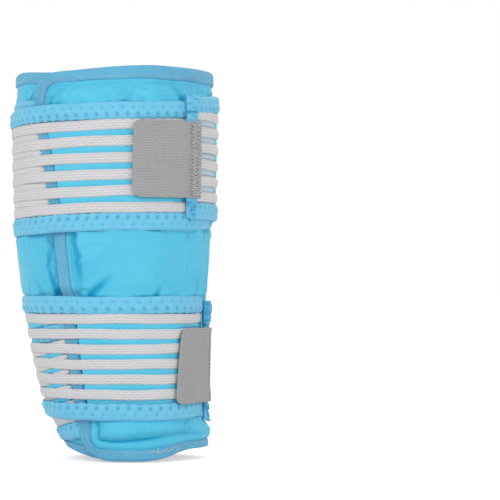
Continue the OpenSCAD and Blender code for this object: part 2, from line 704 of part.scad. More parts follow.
back_cover();
back_lining();
right_gel_pack();
rear_gel_pack();
left_gel_pack();
back_top_binding();
back_bottom_binding();
flap_cover();
flap_lining();
front_gel_pack();
flap_binding();
inner_cover();
inner_lining();
inner_gel_pack();
inner_binding();
upper_anchor_strips();
upper_anchor_tapes();
upper_anchor_end_strips();
upper_anchor_end_tapes();
upper_sewn_strips();
upper_sewn_tapes();
upper_sewn_end();
upper_landing_strips();
upper_landing_top_tape();
upper_landing_bottom_tape();
upper_landing_end();
upper_hook_strips();
upper_hook_top_tape();
upper_hook_bottom_tape();
upper_hook_end_tape();
upper_tab_foot();
upper_tab_thread();
upper_tab();
upper_tab_hooks();
lower_anchor_strips();
lower_anchor_tapes();
lower_anchor_end_strips();
lower_anchor_end_tapes();
lower_sewn_strips();
lower_sewn_tapes();
lower_sewn_end();
lower_landing_strips();
lower_landing_top_tape();
lower_landing_bottom_tape();
lower_landing_end();
lower_hook_strips();
lower_hook_top_tape();
lower_hook_bottom_tape();
lower_hook_end_tape();
lower_tab_foot();
lower_tab_thread();
lower_tab();
lower_tab_hooks();
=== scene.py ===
import json
import math

import bmesh
import bpy
import numpy as np
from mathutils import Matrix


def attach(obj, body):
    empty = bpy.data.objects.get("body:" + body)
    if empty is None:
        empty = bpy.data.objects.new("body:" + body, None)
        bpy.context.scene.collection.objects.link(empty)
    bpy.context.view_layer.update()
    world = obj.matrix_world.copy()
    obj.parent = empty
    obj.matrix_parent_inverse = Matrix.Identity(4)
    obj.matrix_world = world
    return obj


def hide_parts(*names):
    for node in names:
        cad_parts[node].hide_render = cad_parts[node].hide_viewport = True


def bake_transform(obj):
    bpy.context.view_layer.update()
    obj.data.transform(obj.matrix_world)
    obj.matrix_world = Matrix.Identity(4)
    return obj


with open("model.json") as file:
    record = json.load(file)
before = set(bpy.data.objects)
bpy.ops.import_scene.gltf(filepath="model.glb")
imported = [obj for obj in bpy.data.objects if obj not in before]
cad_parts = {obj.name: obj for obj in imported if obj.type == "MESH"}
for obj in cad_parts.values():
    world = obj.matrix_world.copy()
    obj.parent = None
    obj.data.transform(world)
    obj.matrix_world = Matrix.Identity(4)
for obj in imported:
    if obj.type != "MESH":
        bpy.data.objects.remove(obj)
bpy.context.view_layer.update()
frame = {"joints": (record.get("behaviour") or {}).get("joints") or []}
scene = bpy.context.scene
MM, PI = 0.001, math.pi

# Sizes in millimetres and degrees; pairs are for the upper and the lower strap
# In the functions a is an angle round the wrap, z a height, off a distance out from its passage and
# s a strap: 0 the upper one, 1 the lower one
NAMES = ("upper", "lower")

# The pad's passage and rims
HEIGHT, RIM = 252.0, 0.9
LOW_RADIUS, SPREAD, TAPER_POWER, SQUEEZE, LOW_SHIFT = 40.0, 17.5, 2.5, 2.4, (14.0, -8.0)
TOP_FLARE, LOW_FLARE, LOW_RISE = 4.0, 5.0, 6.5
RISE_FROM, RISE_FLAT, RISE_RIGHT, RISE_LEFT = -105, 20, 55, 70
# Dips of the upper rim: depth, angle, width
TOP_DIPS = ((4.2, -125, 38), (3.2, 178, 15))

# Angles of the pad's seams and folds, and the flap's side, which bows out between its corners
FLAP_HINGE, SEAM_RIGHT, SEAM_BACK, INNER_HINGE, INNER_STOP = -40.0, 44.0, 128.0, 200.0, 284.0
FLAP_LIFT, LIFT_FROM, LIFT_WAY, UPPER_CORNER, LOWER_CORNER = 4.4, -46, 24, 20.0, 14.0
BOW_ANGLE, BOW_DEPTH, BOW_MIDDLE, BOW_HALF, BOW_TOP = -125, 13.5, 90, 126, 228.0

# Strips of a strap, the gaps between them and the edge tapes
STRIPS, STRIP, GAP, REST = 6, (7.0, 6.6), (3.5, 3.0), (0.1, 2.5)
EDGE, EDGE_THICK, STRIP_THICK = 11.0, 2.2, 1.5
HALF = tuple(EDGE + 0.05 + (STRIPS * STRIP[s] + (STRIPS - 1) * GAP[s] + REST[s]) / 2 for s in (0, 1))

# Where the straps run, with the flap's side that the landing straps climb, and the tabs
LANDING_SEWN, LANDING_HINGE, LANDING_TIP, HOOK_HINGE = 92.0, 164.0, 344.0, 44.0
CLIMB_FROM, CLIMB_WAY, DROP_FROM, DROP_WAY, TIP_RIGHT = 200, 24, 300, 44, LANDING_TIP - 360
LANDING_Z, LANDING_SLOPE, LANDING_OFF, OVER_FLAP, TIP_OFF = (187.0, 65.4), (0.03, 0.0), 8.9, 10.7, 6.5
HOOK_END, HOOK_Z, HOOK_OFF, ANCHOR_DROP, SOFT_TURN = (-50.0, -14.0), (195.0, 62.0), 9.1, (4.6, 20.8), 16.0
TAB_FOOT, TAB_REACH, TAB_HEIGHT, TAB_THICK, TAB_Z = 10.0, (31.0, 40.0), 49.0, 1.2, (191.92, 60.0)

# Layers of the pad, and the heights where the straps press on it
ANCHOR_OFF, COVER_LOW, COVER_THICK, LINING, CLEAR = 6.3, 1.3, 1.0, 1.2, 0.3
PRESSED_LOW, PRESSED_HIGH, SWELL = LANDING_Z[1] + HALF[1] + 0.4, LANDING_Z[0] - HALF[0] - 0.6, 6.0


def ramp(t):
    """0 to 1, soft at both ends."""
    u = np.clip(t, 0, 1)
    return u * u * (3 - 2 * u)


def window(x, low, high, soft):
    """1 between low and high, 0 beyond them, soft inside both."""
    return ramp((x - low) / soft) * ramp((high - x) / soft)


def bell(t):
    """1 at 0, falling off on both sides."""
    return np.exp(-t * t)


def mix(a, b, t):
    return a + (b - a) * t


def sine(a, pace, shift=0.0):
    """A wave round the wrap."""
    return np.sin(np.radians(a) * pace + shift)


def pairs(x, y):
    return np.stack(np.broadcast_arrays(x, y), -1)


def fall(z):
    """1 at the lower rim, 0 at the upper one."""
    return np.clip(1 - z / HEIGHT, 0, 1)


def squeeze(z):
    """How far the lower strap draws the passage in."""
    return SQUEEZE * ramp((PRESSED_LOW + SWELL - z) / SWELL) * ramp((z - 16) / 10)


def radius(z):
    return LOW_RADIUS + SPREAD * (1 - fall(z) ** TAPER_POWER) - squeeze(z)


def away(a, start):
    """Signed angle from start."""
    return (a - start + 540) % 360 - 180


def wave(a, z):
    """Rise of the lower rim away from the front, less the dips of the upper rim."""
    dip = sum(deep * bell(away(a, at) / wide) for deep, at, wide in TOP_DIPS)
    side = away(a, RISE_FROM)
    rise = LOW_RISE * ramp(np.where(side > 0, (side - RISE_FLAT) / RISE_RIGHT, -side / RISE_LEFT))
    return rise * fall(z) ** 16 - dip * (1 - fall(z)) ** 16


def stand_off(a, z):
    """Flare of both rims."""
    flare = TOP_FLARE * np.cos(np.radians(a - 8)) ** 6 * ramp((z - 236) / 5.8)
    return flare + LOW_FLARE * np.maximum(0, np.cos(np.radians(a - 5))) ** 6 * ramp((24 - z) / 9)


def around(a, z, off):
    """Points on the wrap."""
    a, z, off = np.broadcast_arrays(np.asarray(a, float), np.asarray(z, float), np.asarray(off, float))
    r, t = radius(z) + stand_off(a, z) + off, np.radians(a)
    x, y = (shift * fall(z) ** 4 for shift in LOW_SHIFT)
    x = x - ramp((PRESSED_HIGH - z) / SWELL)
    return np.stack([x + r * np.cos(t), y + r * np.sin(t), z + wave(a, z)], -1)


def per_degree(z):
    """Millimetres round the pad in one degree."""
    return (radius(z) + 2) * PI / 180


HOOK_DEGREE, TAB_DEGREE = ([float(per_degree(z)) for z in heights] for heights in (HOOK_Z, TAB_Z))


def bow(z):
    """Angle of the flap's side, without its corners."""
    return BOW_ANGLE - BOW_DEPTH * ((np.minimum(z, BOW_TOP) - BOW_MIDDLE) / BOW_HALF) ** 2


def corner_size(z):
    return np.where(np.asarray(z) > HEIGHT / 2, UPPER_CORNER, LOWER_CORNER)


def from_rim(z):
    return np.minimum(z - RIM, HEIGHT - RIM - z)


def corner(t, r):
    """How far a round corner draws in, at a way t from its end."""
    return r - np.sqrt(np.maximum(0, r * r - (r - np.clip(t, 0, r)) ** 2))


def edge(z):
    """Angle of the flap's side."""
    return bow(z) + corner(from_rim(z), corner_size(z)) / per_degree(z)


def lift(a):
    """How far the flap lies over the inner end."""
    return FLAP_LIFT * ramp((LIFT_FROM - a) / LIFT_WAY)


def landing_off(a):
    """Underside of the landing straps."""
    a = np.asarray(a, float)
    rise = mix(LANDING_OFF, OVER_FLAP, ramp((a - CLIMB_FROM) / CLIMB_WAY))
    drop = mix(OVER_FLAP, TIP_OFF, ramp((a - DROP_FROM) / DROP_WAY))
    return np.where(a < CLIMB_FROM, LANDING_OFF, np.where(a < DROP_FROM, rise, drop))


def hook_off(a):
    """Underside of the hook straps."""
    a = np.asarray(a, float)
    right = mix(HOOK_OFF, ANCHOR_OFF, ramp((a + 10) / 54))
    return np.where(a > -10, right, landing_off(np.minimum(LANDING_TIP, a + 360)) + 2.6)


def landing_z(s, a):
    return LANDING_Z[s] + LANDING_SLOPE[s] * (a - 270)


def anchor_z(s, a):
    """Middle of a hook strap's run, which turns down softly at the seam it folds at."""
    past = np.maximum(np.asarray(a, float) - HOOK_HINGE, -SOFT_TURN)
    past = np.where(past > SOFT_TURN, past, (past + SOFT_TURN) ** 2 / (4 * SOFT_TURN))
    return HOOK_Z[s] - ANCHOR_DROP[s] * (np.sin(np.radians(0.75 * past)) if s else past / 156)


def strip_low(s, k):
    """Lower edge of a strap's strip over its middle; strip 0 is the top one."""
    return HALF[s] - EDGE - 0.1 - (k + 1) * STRIP[s] - k * GAP[s]


# Camera, studio and floor

LAMP_AIM = (0, 0, 0.13)


def add(name, data):
    ob = bpy.data.objects.new(name, data)
    scene.collection.objects.link(ob)
    return ob


def settle(owner, **settings):
    for key, value in settings.items():
        setattr(owner, key, value)
    return owner


def lamp(name, place, size, watts):
    """A round lamp that looks at the wrap's middle."""
    ob = add(name, settle(bpy.data.lights.new(name, "AREA"), shape="DISK", size=size, energy=watts))
    ob.location = place
    x, y, z = np.subtract(LAMP_AIM, place)
    ob.rotation_euler = (math.atan2(math.hypot(x, y), -z), 0, math.atan2(-x, y))


def empty_tree(owner):
    owner.use_nodes = True
    owner.node_tree.nodes.clear()
    return owner.node_tree


def node(tree, kind, inputs=(), **settings):
    """A new shader node; its inputs are values or other nodes' outputs."""
    made = settle(tree.nodes.new("ShaderNode" + kind), **settings)
    for place, value in dict(inputs).items():
        if isinstance(value, bpy.types.NodeSocket):
            tree.links.new(value, made.inputs[place])
        else:
            made.inputs[place].default_value = value
    return made


scene.view_settings.view_transform = "Standard"
camera = scene.camera = add("camera", bpy.data.cameras.new("camera"))
camera.location = (0, -1.45, 0.109)
camera.rotation_euler = (math.radians(91.04), 0, math.radians(-3.52))
camera.data.lens, camera.data.clip_end = 158.2, 100

lamp("key", (-0.45, -2.2, 1.2), 1.5, 13)
lamp("left", (-1.7, -1.2, 0.8), 1.3, 7)
lamp("right", (1.7, -1.2, 0.6), 1.3, 7)
lamp("back", (0.3, 1.6, 1.3), 1.4, 12)

SNOW, PAPER = (1, 1, 1, 1), (0.88, 0.88, 0.88, 1)
scene.world = bpy.data.worlds.new("studio")
tree = empty_tree(scene.world)
rays = node(tree, "LightPath").outputs
seen = rays["Is Camera Ray"]
for kind in ("Is Glossy Ray", "Is Transmission Ray"):
    seen = node(tree, "Math", {0: seen, 1: rays[kind]}, operation="MAXIMUM").outputs[0]
lit = node(tree, "Background", {"Color": SNOW, "Strength": 0.62})
shown = node(tree, "Background", {"Color": SNOW, "Strength": 1.0})
choice = node(tree, "MixShader", {0: seen, 1: lit.outputs[0], 2: shown.outputs[0]})
node(tree, "OutputWorld", {0: choice.outputs[0]})

bpy.ops.mesh.primitive_plane_add(size=60, location=(0, 0, -0.0006))
floor = bpy.context.object
floor.name = "floor"
floor.data.materials.append(bpy.data.materials.new("floor_paper"))
tree = empty_tree(floor.data.materials[0])
paper = node(tree, "BsdfDiffuse", {"Color": PAPER}).outputs[0]
glow = node(tree, "Emission", {"Color": SNOW, "Strength": 0.52}).outputs[0]
both = node(tree, "AddShader", {0: paper, 1: glow}).outputs[0]
seen = node(tree, "LightPath").outputs["Is Camera Ray"]
choice = node(tree, "MixShader", {0: seen, 1: paper, 2: both})
node(tree, "OutputMaterial", {0: choice.outputs[0]})


# Materials


def linear(*colour):
    """A colour of 0 to 255 as a shader takes it."""
    shares = [c / 255 for c in colour]
    return (*(c / 12.92 if c <= 0.04045 else ((c + 0.055) / 1.055) ** 2.4 for c in shares), 1.0)


class Sum:
    """A shader value that takes part in sums."""

    def __init__(self, tree, socket):
        self.tree, self.socket = tree, socket

    def do(self, operation, *others):
        inputs = {i: x.socket if isinstance(x, Sum) else x for i, x in enumerate((self,) + others)}
        return Sum(self.tree, node(self.tree, "Math", inputs, operation=operation).outputs[0])

    def __add__(self, x):
        return self.do("ADD", x)

    def __sub__(self, x):
        return self.do("SUBTRACT", x)

    def __mul__(self, x):
        return self.do("MULTIPLY", x)

    def wave(self, period=1.0):
        """0 to 1 and back over each period."""
        return (self * (1 / period) * (2 * PI)).do("COSINE") * -0.5 + 0.5


class Fabric:
    """A woven or knitted material: a pattern sets its shade, its bump and its roughness."""

    ROUGH_SPREAD, DEEP_SHARE = 0.12, 0.4

    def __init__(self, name, dark, light, rough, sheen=0.0, sheen_rough=0.5, specular=0.3):
        self.material = bpy.data.materials.new(name)
        self.tree = empty_tree(self.material)
        self.shader = node(self.tree, "BsdfPrincipled", {
            "Specular IOR Level": specular, "Sheen Weight": sheen, "Sheen Roughness": sheen_rough})
        node(self.tree, "OutputMaterial", {0: self.shader.outputs[0]})
        self.dark, self.light, self.rough = linear(*dark), linear(*light), rough
        self.grid, self.u, self.v = self.plane("flat")

    def plane(self, uv_map):
        """A UV map and its two coordinates."""
        grid = node(self.tree, "UVMap", uv_map=uv_map).outputs[0]
        part = node(self.tree, "SeparateXYZ", {0: grid}).outputs
        return grid, Sum(self.tree, part[0]), Sum(self.tree, part[1])

    def noise(self, size, detail=2.0, stretch=(1, 1)):
        """Soft noise with blobs of a size in millimetres."""
        scale = (1 / (size * stretch[0]), 1 / (size * stretch[1]), 1)
        grid = node(self.tree, "Mapping", {"Vector": self.grid, "Scale": scale}).outputs[0]
        blobs = {"Vector": grid, "Scale": 1.0, "Detail": detail}
        return Sum(self.tree, node(self.tree, "TexNoise", blobs, noise_dimensions="2D").outputs[0])

    def finish(self, shade, height, depth, deep=None):
        """Sets the colours; deep is the colour of painted shade in creases, dents and gaps, where the painted
        shade map is 1.
        """
        colours = node(self.tree, "ValToRGB")
        steps = colours.color_ramp.elements
        steps[0].color, steps[1].color = self.dark, self.light
        rough = shade * -self.ROUGH_SPREAD + (self.rough + self.ROUGH_SPREAD / 2)
        if deep:
            steps[0].position = self.DEEP_SHARE
            steps.new(0.0).color = linear(*deep)
            # Painted shade: where the painted shade map rises, the colour is pulled towards deep
            shade = shade * (1 - self.DEEP_SHARE) + self.DEEP_SHARE - self.plane("tone")[1] * 0.95
        bump = node(self.tree, "Bump", {"Strength": 1.0, "Distance": depth * MM, "Height": height.socket})
        self.tree.links.new(shade.socket, colours.inputs[0])
        self.tree.links.new(colours.outputs[0], self.shader.inputs["Base Color"])
        self.tree.links.new(rough.socket, self.shader.inputs["Roughness"])
        self.tree.links.new(bump.outputs[0], self.shader.inputs["Normal"])
        return self.material


def nylon_cloth():
    f = Fabric("cover_nylon", (76, 190, 224), (98, 208, 238), 0.55, 0.3, 0.3)
    weave = f.u.wave(0.55) * f.v.wave(0.55)
    shade, height = f.noise(26, 3) * 0.8 + weave * 0.2, weave + f.noise(1.6) * 0.8
    # deep is the colour of painted shade in the cover's folds and the rim's crease
    return f.finish(shade, height, 0.05, deep=(22, 170, 213))


def pad_tape():
    f = Fabric("pad_binding", (72, 159, 201), (117, 193, 223), 0.75, 0.2)
    ribs, rows, speck = f.u.wave(0.85), f.v.wave(1.1), f.noise(0.9, 3)
    return f.finish(ribs * 0.22 + rows * 0.12 + speck * 0.36 + f.noise(9) * 0.3, ribs * 0.7 + speck, 0.12)


def strap_cloth():
    f = Fabric("strap_tape", (98, 188, 226), (132, 212, 240), 0.82, 0.3, 0.4)
    nap, ribs = f.noise(0.7, 4), f.u.wave() * f.v.wave(0.8)
    shade = nap * 0.55 + f.noise(7, 3) * 0.3 + ribs * 0.15
    # deep is the colour of painted shade in the tape's dents and the end folds' pinches and crumples
    return f.finish(shade, nap + ribs * 0.5, 0.14, deep=(62, 158, 206))


def knit():
    """Rows of short slanted stitches that zigzag along the strip."""
    f = Fabric("elastic_strips", (150, 150, 156), (220, 218, 219), 0.8, 0.25)
    zigzag = ((f.u * (1 / 4.6)).do("FRACT") - 0.5).do("ABSOLUTE")
    rows = f.v * (4 / KNIT_WIDE) + zigzag * 0.9
    along = (f.u * (1 / 1.55) + rows.do("FLOOR") * 0.5).do("FRACT")
    across = rows.do("FRACT")
    stitch = (along * PI).do("SINE").do("POWER", 1.5) * (across * PI).do("SINE").do("POWER", 3.0)
    fuzz = f.noise(0.5, 3)
    shade = stitch * -0.62 + fuzz * 0.2 + f.noise(12) * 0.12 + 0.82
    # deep is a painted blue-grey shade for the strips seen in the gaps beneath the hook strips
    return f.finish(shade, stitch * -0.8 + fuzz * 0.25, 0.16, deep=(186, 211, 224))


def hook_back(name, dark, light, sewn):
    """Ribbed back of hook tape, speckled where it is sewn."""
    f = Fabric(name, dark, light, 0.62, 0.1)
    ribs = f.v.wave(TAB_RIB)
    grain = f.noise(1.0, 5) if sewn else f.noise(0.8, 4, (2.5, 1))
    shade = ribs * (0.1 if sewn else 0.24) + grain * (0.8 if sewn else 0.45) + f.noise(14) * 0.15
    return f.finish(shade, ribs * 0.3 + grain, 0.35 if sewn else 0.12)


def brushed():
    f = Fabric("lining_felt", (66, 98, 142), (104, 140, 182), 0.9, 0.5)
    nap = f.noise(0.8, 5)
    return f.finish(nap * 0.7 + f.noise(11, 3) * 0.4, nap, 0.25)


def thread_of(name, dark, light):
    f = Fabric(name, dark, light, 0.6, 0.3)
    twist = (f.u * (1 / 0.7) + f.v).wave()
    return f.finish(twist * 0.7 + f.noise(2.5) * 0.4, twist, 0.06)


def hook_plastic():
    f = Fabric("hook_field", (150, 152, 155), (188, 190, 192), 0.42, specular=0.5)
    grain = f.noise(1.1, 3)
    return f.finish(grain, grain, 0.04)


KNIT_WIDE, TAB_RIB = 7.0, 1.65
NYLON, PAD_TAPE, STRAP, KNIT, LINER = nylon_cloth(), pad_tape(), strap_cloth(), knit(), brushed()
TAB = hook_back("hook_tape", (134, 134, 135), (186, 186, 187), False)
FOOT = hook_back("hook_tape_sewn", (112, 113, 114), (190, 190, 190), True)
HOOKS = hook_plastic()
PALE = thread_of("thread_pale", (128, 192, 220), (176, 216, 234))
BLUE = thread_of("thread_blue", (96, 182, 220), (132, 208, 238))
STITCH = thread_of("thread_strap", (112, 194, 228), (146, 220, 244))
GREY = thread_of("thread_grey", (112, 113, 114), (176, 177, 178))
WHITE = thread_of("thread_light", (186, 186, 188), (226, 226, 228))


# Mesh building


class Shell:
    """Collects tubes, plates and threads, in millimetres, and makes one object of them."""

    def __init__(self):
        self.points, self.faces, self.uv, self.tone, self.slots, self.count = [], [], [], [], [], 0

    def put(self, points, uv, faces, tone):
        self.points.append(points.reshape(-1, 3))
        self.uv.append(uv.reshape(-1, 2))
        self.tone.append(np.broadcast_to(tone, points.shape[:-1]).ravel())
        self.faces += [[i + self.count for i in f] for f in faces]
        self.slots += [0] * len(faces)
        self.count += len(self.points[-1])

    def tube(self, rings, uv, tone=0.0):
        """Rings of points from end to end, closed round and capped."""
        n, m = rings.shape[:2]
        i, j = np.meshgrid(np.arange(n - 1), np.arange(m), indexing="ij")
        a, b = (i * m + j).ravel(), (i * m + (j + 1) % m).ravel()
        faces = np.stack([a, a + m, b + m, b], 1).tolist()
        faces += [list(range(m)), list(range(n * m - 1, (n - 1) * m - 1, -1))]
        self.put(rings, uv, faces, tone)
        return self

    def plate(self, outer, inner, uv, slots=None, tone=0.0):
        """A closed sheet between two grids of points; slots holds the material slots of its outer faces."""
        n, m = outer.shape[:2]
        top = grid_faces(n, m)
        under = top[:, ::-1] + n * m
        loop = [*range(m), *(k * m + m - 1 for k in range(1, n)), *range(n * m - 2, (n - 1) * m - 1, -1),
                *(k * m for k in range(n - 2, 0, -1))]
        wall = [[q, p, p + n * m, q + n * m] for p, q in zip(loop, loop[1:] + loop[:1])]
        start = len(self.slots)
        shade = np.stack([np.broadcast_to(tone, (n, m)), np.zeros((n, m))])
        self.put(np.stack([outer, inner]), np.stack([uv, uv]), top.tolist() + under.tolist() + wall, shade)
        if slots is not None:
            self.slots[start:start + len(top)] = slots.ravel().tolist()
        return self

    def thread(self, line, thick, out, sides=5):
        """A thread along a line of points; out holds the outward ways there."""
        way = np.gradient(line, axis=0)
        way /= np.linalg.norm(way, axis=1)[:, None] + 1e-9
        side = np.cross(way, out)
        side /= np.linalg.norm(side, axis=1)[:, None] + 1e-9
        up = np.cross(side, way)
        t = (np.arange(sides) * 2 * PI / sides)[None, :, None]
        rings = line[:, None] + thick / 2 * (side[:, None] * np.cos(t) + up[:, None] * np.sin(t))
        long = np.concatenate([[0], np.cumsum(np.linalg.norm(np.diff(line, axis=0), axis=1))])
        return self.tube(rings, pairs(long[:, None], t[..., 0] / 2 / PI))

    def make(self, name, *materials):
        me = bpy.data.meshes.new(name)
        me.from_pydata((np.concatenate(self.points) * MM).tolist(), [], self.faces)
        for m in materials:
            me.materials.append(m)
        me.polygons.foreach_set("material_index", np.array(self.slots, np.int32))
        corners = np.empty(len(me.loops), np.int32)
        me.loops.foreach_get("vertex_index", corners)
        # Painted shade per point goes into its own UV map
        tone = np.clip(np.concatenate(self.tone), 0, 1)
        maps = {"flat": np.concatenate(self.uv), "tone": np.stack([tone, 0 * tone], 1)}
        for key in ("flat", "tone") if tone.any() else ("flat",):
            me.uv_layers.new(name=key).uv.foreach_set("vector", maps[key][corners].astype(np.float32).ravel())
        bm = bmesh.new()
        bm.from_mesh(me)
        bmesh.ops.recalc_face_normals(bm, faces=bm.faces)
        bm.to_mesh(me)
        bm.free()
        me.polygons.foreach_set("use_smooth", np.ones(len(me.polygons), bool))
        return add(name, me)


def grid_faces(n, m):
    """Faces of a grid of n by m points."""
    i, j = np.meshgrid(np.arange(n - 1), np.arange(m - 1), indexing="ij")
    a = (i * m + j).ravel()
    return np.stack([a, a + 1, a + m + 1, a + m], 1)


def outward(a):
    t = np.radians(a)
    return np.stack([np.cos(t), np.sin(t), 0 * t], -1)


def zigzag(turns, parts):
    """Steps of a zigzag thread, its side from 1 to 0 and back, and its dips into the cloth at each turn."""
    k = np.arange(turns * parts + 1) / parts
    return k, np.abs(k % 2 - 1), np.abs(k % 1 - 0.5) * 2


# Holds: a piece rides on one body; at a hinge its hold only bakes the piece's transform and does not blend it
# between the two bodies

JOINTS = {j["child"]: j for j in frame["joints"]}


def riding(body):
    return lambda ob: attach(ob, body)


def fold(child, angle, far, half):
    """Works out the plane between a hinge's parent and its child, which also meets the pad at far, and points
    half millimetres to both sides of it; the hold it gives only bakes a piece's transform and bends nothing.
    """
    joint = JOINTS[child]
    z, axis = joint["pos_m"][2] / MM, np.array(joint["axis"], float)
    p, q, middle = around(angle, z, 6), around(far, z, 6), around((angle + far) / 2, z, 6)
    along = (q - p) * (1, 1, 0)
    n = np.cross(along / np.linalg.norm(along), (0, 0, 1))
    if n @ (middle - p) < 0:
        n = -n
    axis /= np.linalg.norm(axis)
    n -= axis * (n @ axis)
    n /= np.linalg.norm(n)
    start, end = tuple((p - n * half) * MM), tuple((p + n * half) * MM)

    def hold(ob):
        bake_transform(ob)
        return ob

    return hold


on_back = riding("back_panel")
on_flap = fold("front_flap", FLAP_HINGE, FLAP_HINGE - 180, 6)
on_inner = fold("inner_end", INNER_HINGE, INNER_HINGE + 180, 5)
on_landing = [fold(name + "_landing_strap", LANDING_HINGE, 400, 4) for name in NAMES]
on_hook = [fold(name + "_hook_strap", HOOK_HINGE, HOOK_HINGE - 180, 4) for name in NAMES]
on_tab = [fold(name + "_hook_tab", end, end - 180, 1.6) for name, end in zip(NAMES, HOOK_END)]


def piece(shell, name, hold, slot, *materials, nodes=()):
    """Makes a piece, passes it to its hold, and hides the solids that it stands for; slot is not used."""
    ob = hold(shell.make(name, *materials))
    if nodes:
        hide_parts(*nodes)
    return ob


# The pad: gel pillows in a nylon cover, from seam to seam

rng = np.random.default_rng(7)
HOOK_OVER, TUCK, HUG, FRONT_SEAMS = (-44.0, TIP_RIGHT), (0.0, 2.5), 3.3, (-42.0, -38.0)
# Heights between which the straps press on the pad, and where it is loose or free
PRESSED, LOOSE_HIGH, FREE_LOW, FREE_HIGH, TOP_LOW = ((27.0, 103.0), (149.0, 225.0)), 26.4, 104.0, 147.2, 227.0
# How far the free pad between the straps stands out, by height, at the front and at the sides
FREE_Z = (99.0, 105.4, 108, 112, 119, 127, 135, 141, 146, 154)
FREE_FRONT = (9.2, 9.2, 9.9, 10.9, 11.8, 12.3, 12.1, 11.6, 10.9, 10.9)
FREE_SIDE = (7.2, 7.6, 8.0, 8.4, 8.5, 8.6, 8.6, 8.5, 8.2, 8.0)


def flat(a):
    return 0 * a


def binding_width(z):
    return 7.6 + 0.6 * ramp((z - 225) / 12) - 0.8 * ramp((22 - z) / 12)


def flap_depth(a, z):
    """Distance in from the flap's rim, round its corners."""
    dx, dz, r = (a - bow(z)) * per_degree(z), from_rim(z), corner_size(z)
    inside = r - np.hypot(np.maximum(r - dx, 0), np.maximum(r - dz, 0))
    return np.where((dx < r) & (dz < r), inside, np.minimum(dx, dz))


def dome(t):
    """0 to 1, steep at the start."""
    u = 1 - np.clip(t, 0, 1)
    return 0.6 * np.sqrt(1 - u * u) + 0.4 * ramp(t)


def strap_level(a):
    """Underside of the straps that press on the pad."""
    front = landing_off(np.clip(a + 360, CLIMB_FROM, LANDING_TIP))
    right = hook_off(np.clip(a, TIP_RIGHT, HOOK_HINGE))
    return np.where(a < TIP_RIGHT, front, np.where(a < HOOK_HINGE, right, ANCHOR_OFF))


def front_share(a):
    """1 on the flap's front, 0 right of it."""
    return ramp((-14 - a) / 26)


def right_share(a):
    """0 at the flap's lower corner, 1 right of it."""
    return ramp((a + 88) / 28)


def pressed(z):
    """1 where the straps press on the pad, 0 where it is free."""
    return np.maximum(*(window(z, low, high, 3) for low, high in PRESSED))


def gap_share(s, from_mid):
    """1 across the gaps between a strap's strips, 0 beneath the strips."""
    middles = [strip_low(s, k) - GAP[s] / 2 for k in range(STRIPS - 1)]
    return sum(bell(((from_mid - middle) / (GAP[s] * 0.62)) ** 2) for middle in middles)


def between_strips(a, z):
    """Share of the gaps that show the pad; more beneath the upper hook strap's end, which lies higher."""
    share = 0
    for s in (0, 1):
        mid = np.where(a < HOOK_OVER[s], landing_z(s, a + 360), anchor_z(s, a))
        puff = 1 + (1 - s) * 0.9 * ramp((a + 46) / 5) * ramp((TIP_RIGHT - a) / 2)
        share = share + puff * gap_share(s, z - mid)
    return share


def filled_level(a):
    """Underside of the under layer's strips, which swell up to those over them."""
    return mix(ANCHOR_OFF, landing_off(a) - 1.7, ramp((np.asarray(a) - 150) / 25))


def anchor_level(a):
    """Underside of the under layer's tapes."""
    return landing_off(a) - 2.6


def tucked(s, a):
    """How far the under layer's last strip rides up beneath the strap over it, and its tape with it."""
    strip = TUCK[s] * ramp((np.asarray(a) - 140) / 40)
    return strip, strip * (1 + (REST[s] - 0.1) / max(TUCK[s], 0.1))


def tape_share(s, out_from_mid):
    """1 beneath a strap's edge tape, 0 beside it."""
    return window(out_from_mid, HALF[s] - EDGE - 0.3, HALF[s] + 0.3, 0.6)


def hug(a, z):
    """How far the lowest part of a strap draws in; it starts higher at the left."""
    return HUG * ramp((mix(18.0, 27.0, ramp((np.asarray(a) - 128) / 30)) - z) / 8)


def layered(a, z):
    """Top of the pad where a landing strap lies over a hook strap's run."""
    level = tape_level = anchor_level(a) - CLEAR
    for s in (0, 1):
        over, under = z - landing_z(s, a), z - anchor_z(s, a)
        up, up_tape = tucked(s, a)
        tapes = np.maximum(tape_share(s, under), tape_share(s, up_tape - under))
        low = strip_low(s, STRIPS - 1)
        strips_over = window(under, low + up - 0.3, HALF[s] - EDGE + 0.3, 0.6)
        strips_over = strips_over * (1 - gap_share(s, under - up * ramp((low + STRIP[s] + 3 - under) / 3)))
        covered = landing_off(a) - CLEAR + 1.2 * gap_share(s, over)
        seen = np.where(np.abs(over) < HALF[s], covered, filled_level(a) + 1.0)
        laid = mix(mix(seen, filled_level(a) - 0.2, strips_over), tape_level, tapes)
        level = np.where(np.minimum(np.abs(over), np.abs(under)) < HALF[s], laid, level)
    return level - hug(a, z)


def gel(a, z):
    """Height of the gel pillows: pressed by the straps, free between them and beyond them."""
    a, z = np.broadcast_arrays(a, z)
    ground = lift(a) + COVER_LOW + COVER_THICK
    full = np.maximum(3.4, strap_level(a) - CLEAR - ground) + 1.3 * between_strips(a, z)
    full = mix(full, layered(a, z) - ground, ramp((a - LANDING_SEWN + 4) / 8))
    loose = mix(3.7 + 1.5 * ramp((z - 17) / 6), 5.3, front_share(a))
    full = mix(full, loose, ramp((LOOSE_HIGH - z) / 2.4) * ramp((90 - a) / 40))
    full = mix(full, 4.7, ramp((z - TOP_LOW) / 2.4))
    right = window(a, -18, 90, 8)
    free = mix(np.interp(z, FREE_Z, FREE_SIDE), np.interp(z, FREE_Z, FREE_FRONT), lift(a) / FLAP_LIFT)
    free = free + squeeze(z) - ground - 1.3 * right
    return mix(full, free, window(z, FREE_LOW - 4 * right, FREE_HIGH + 6 * right, 1.8))
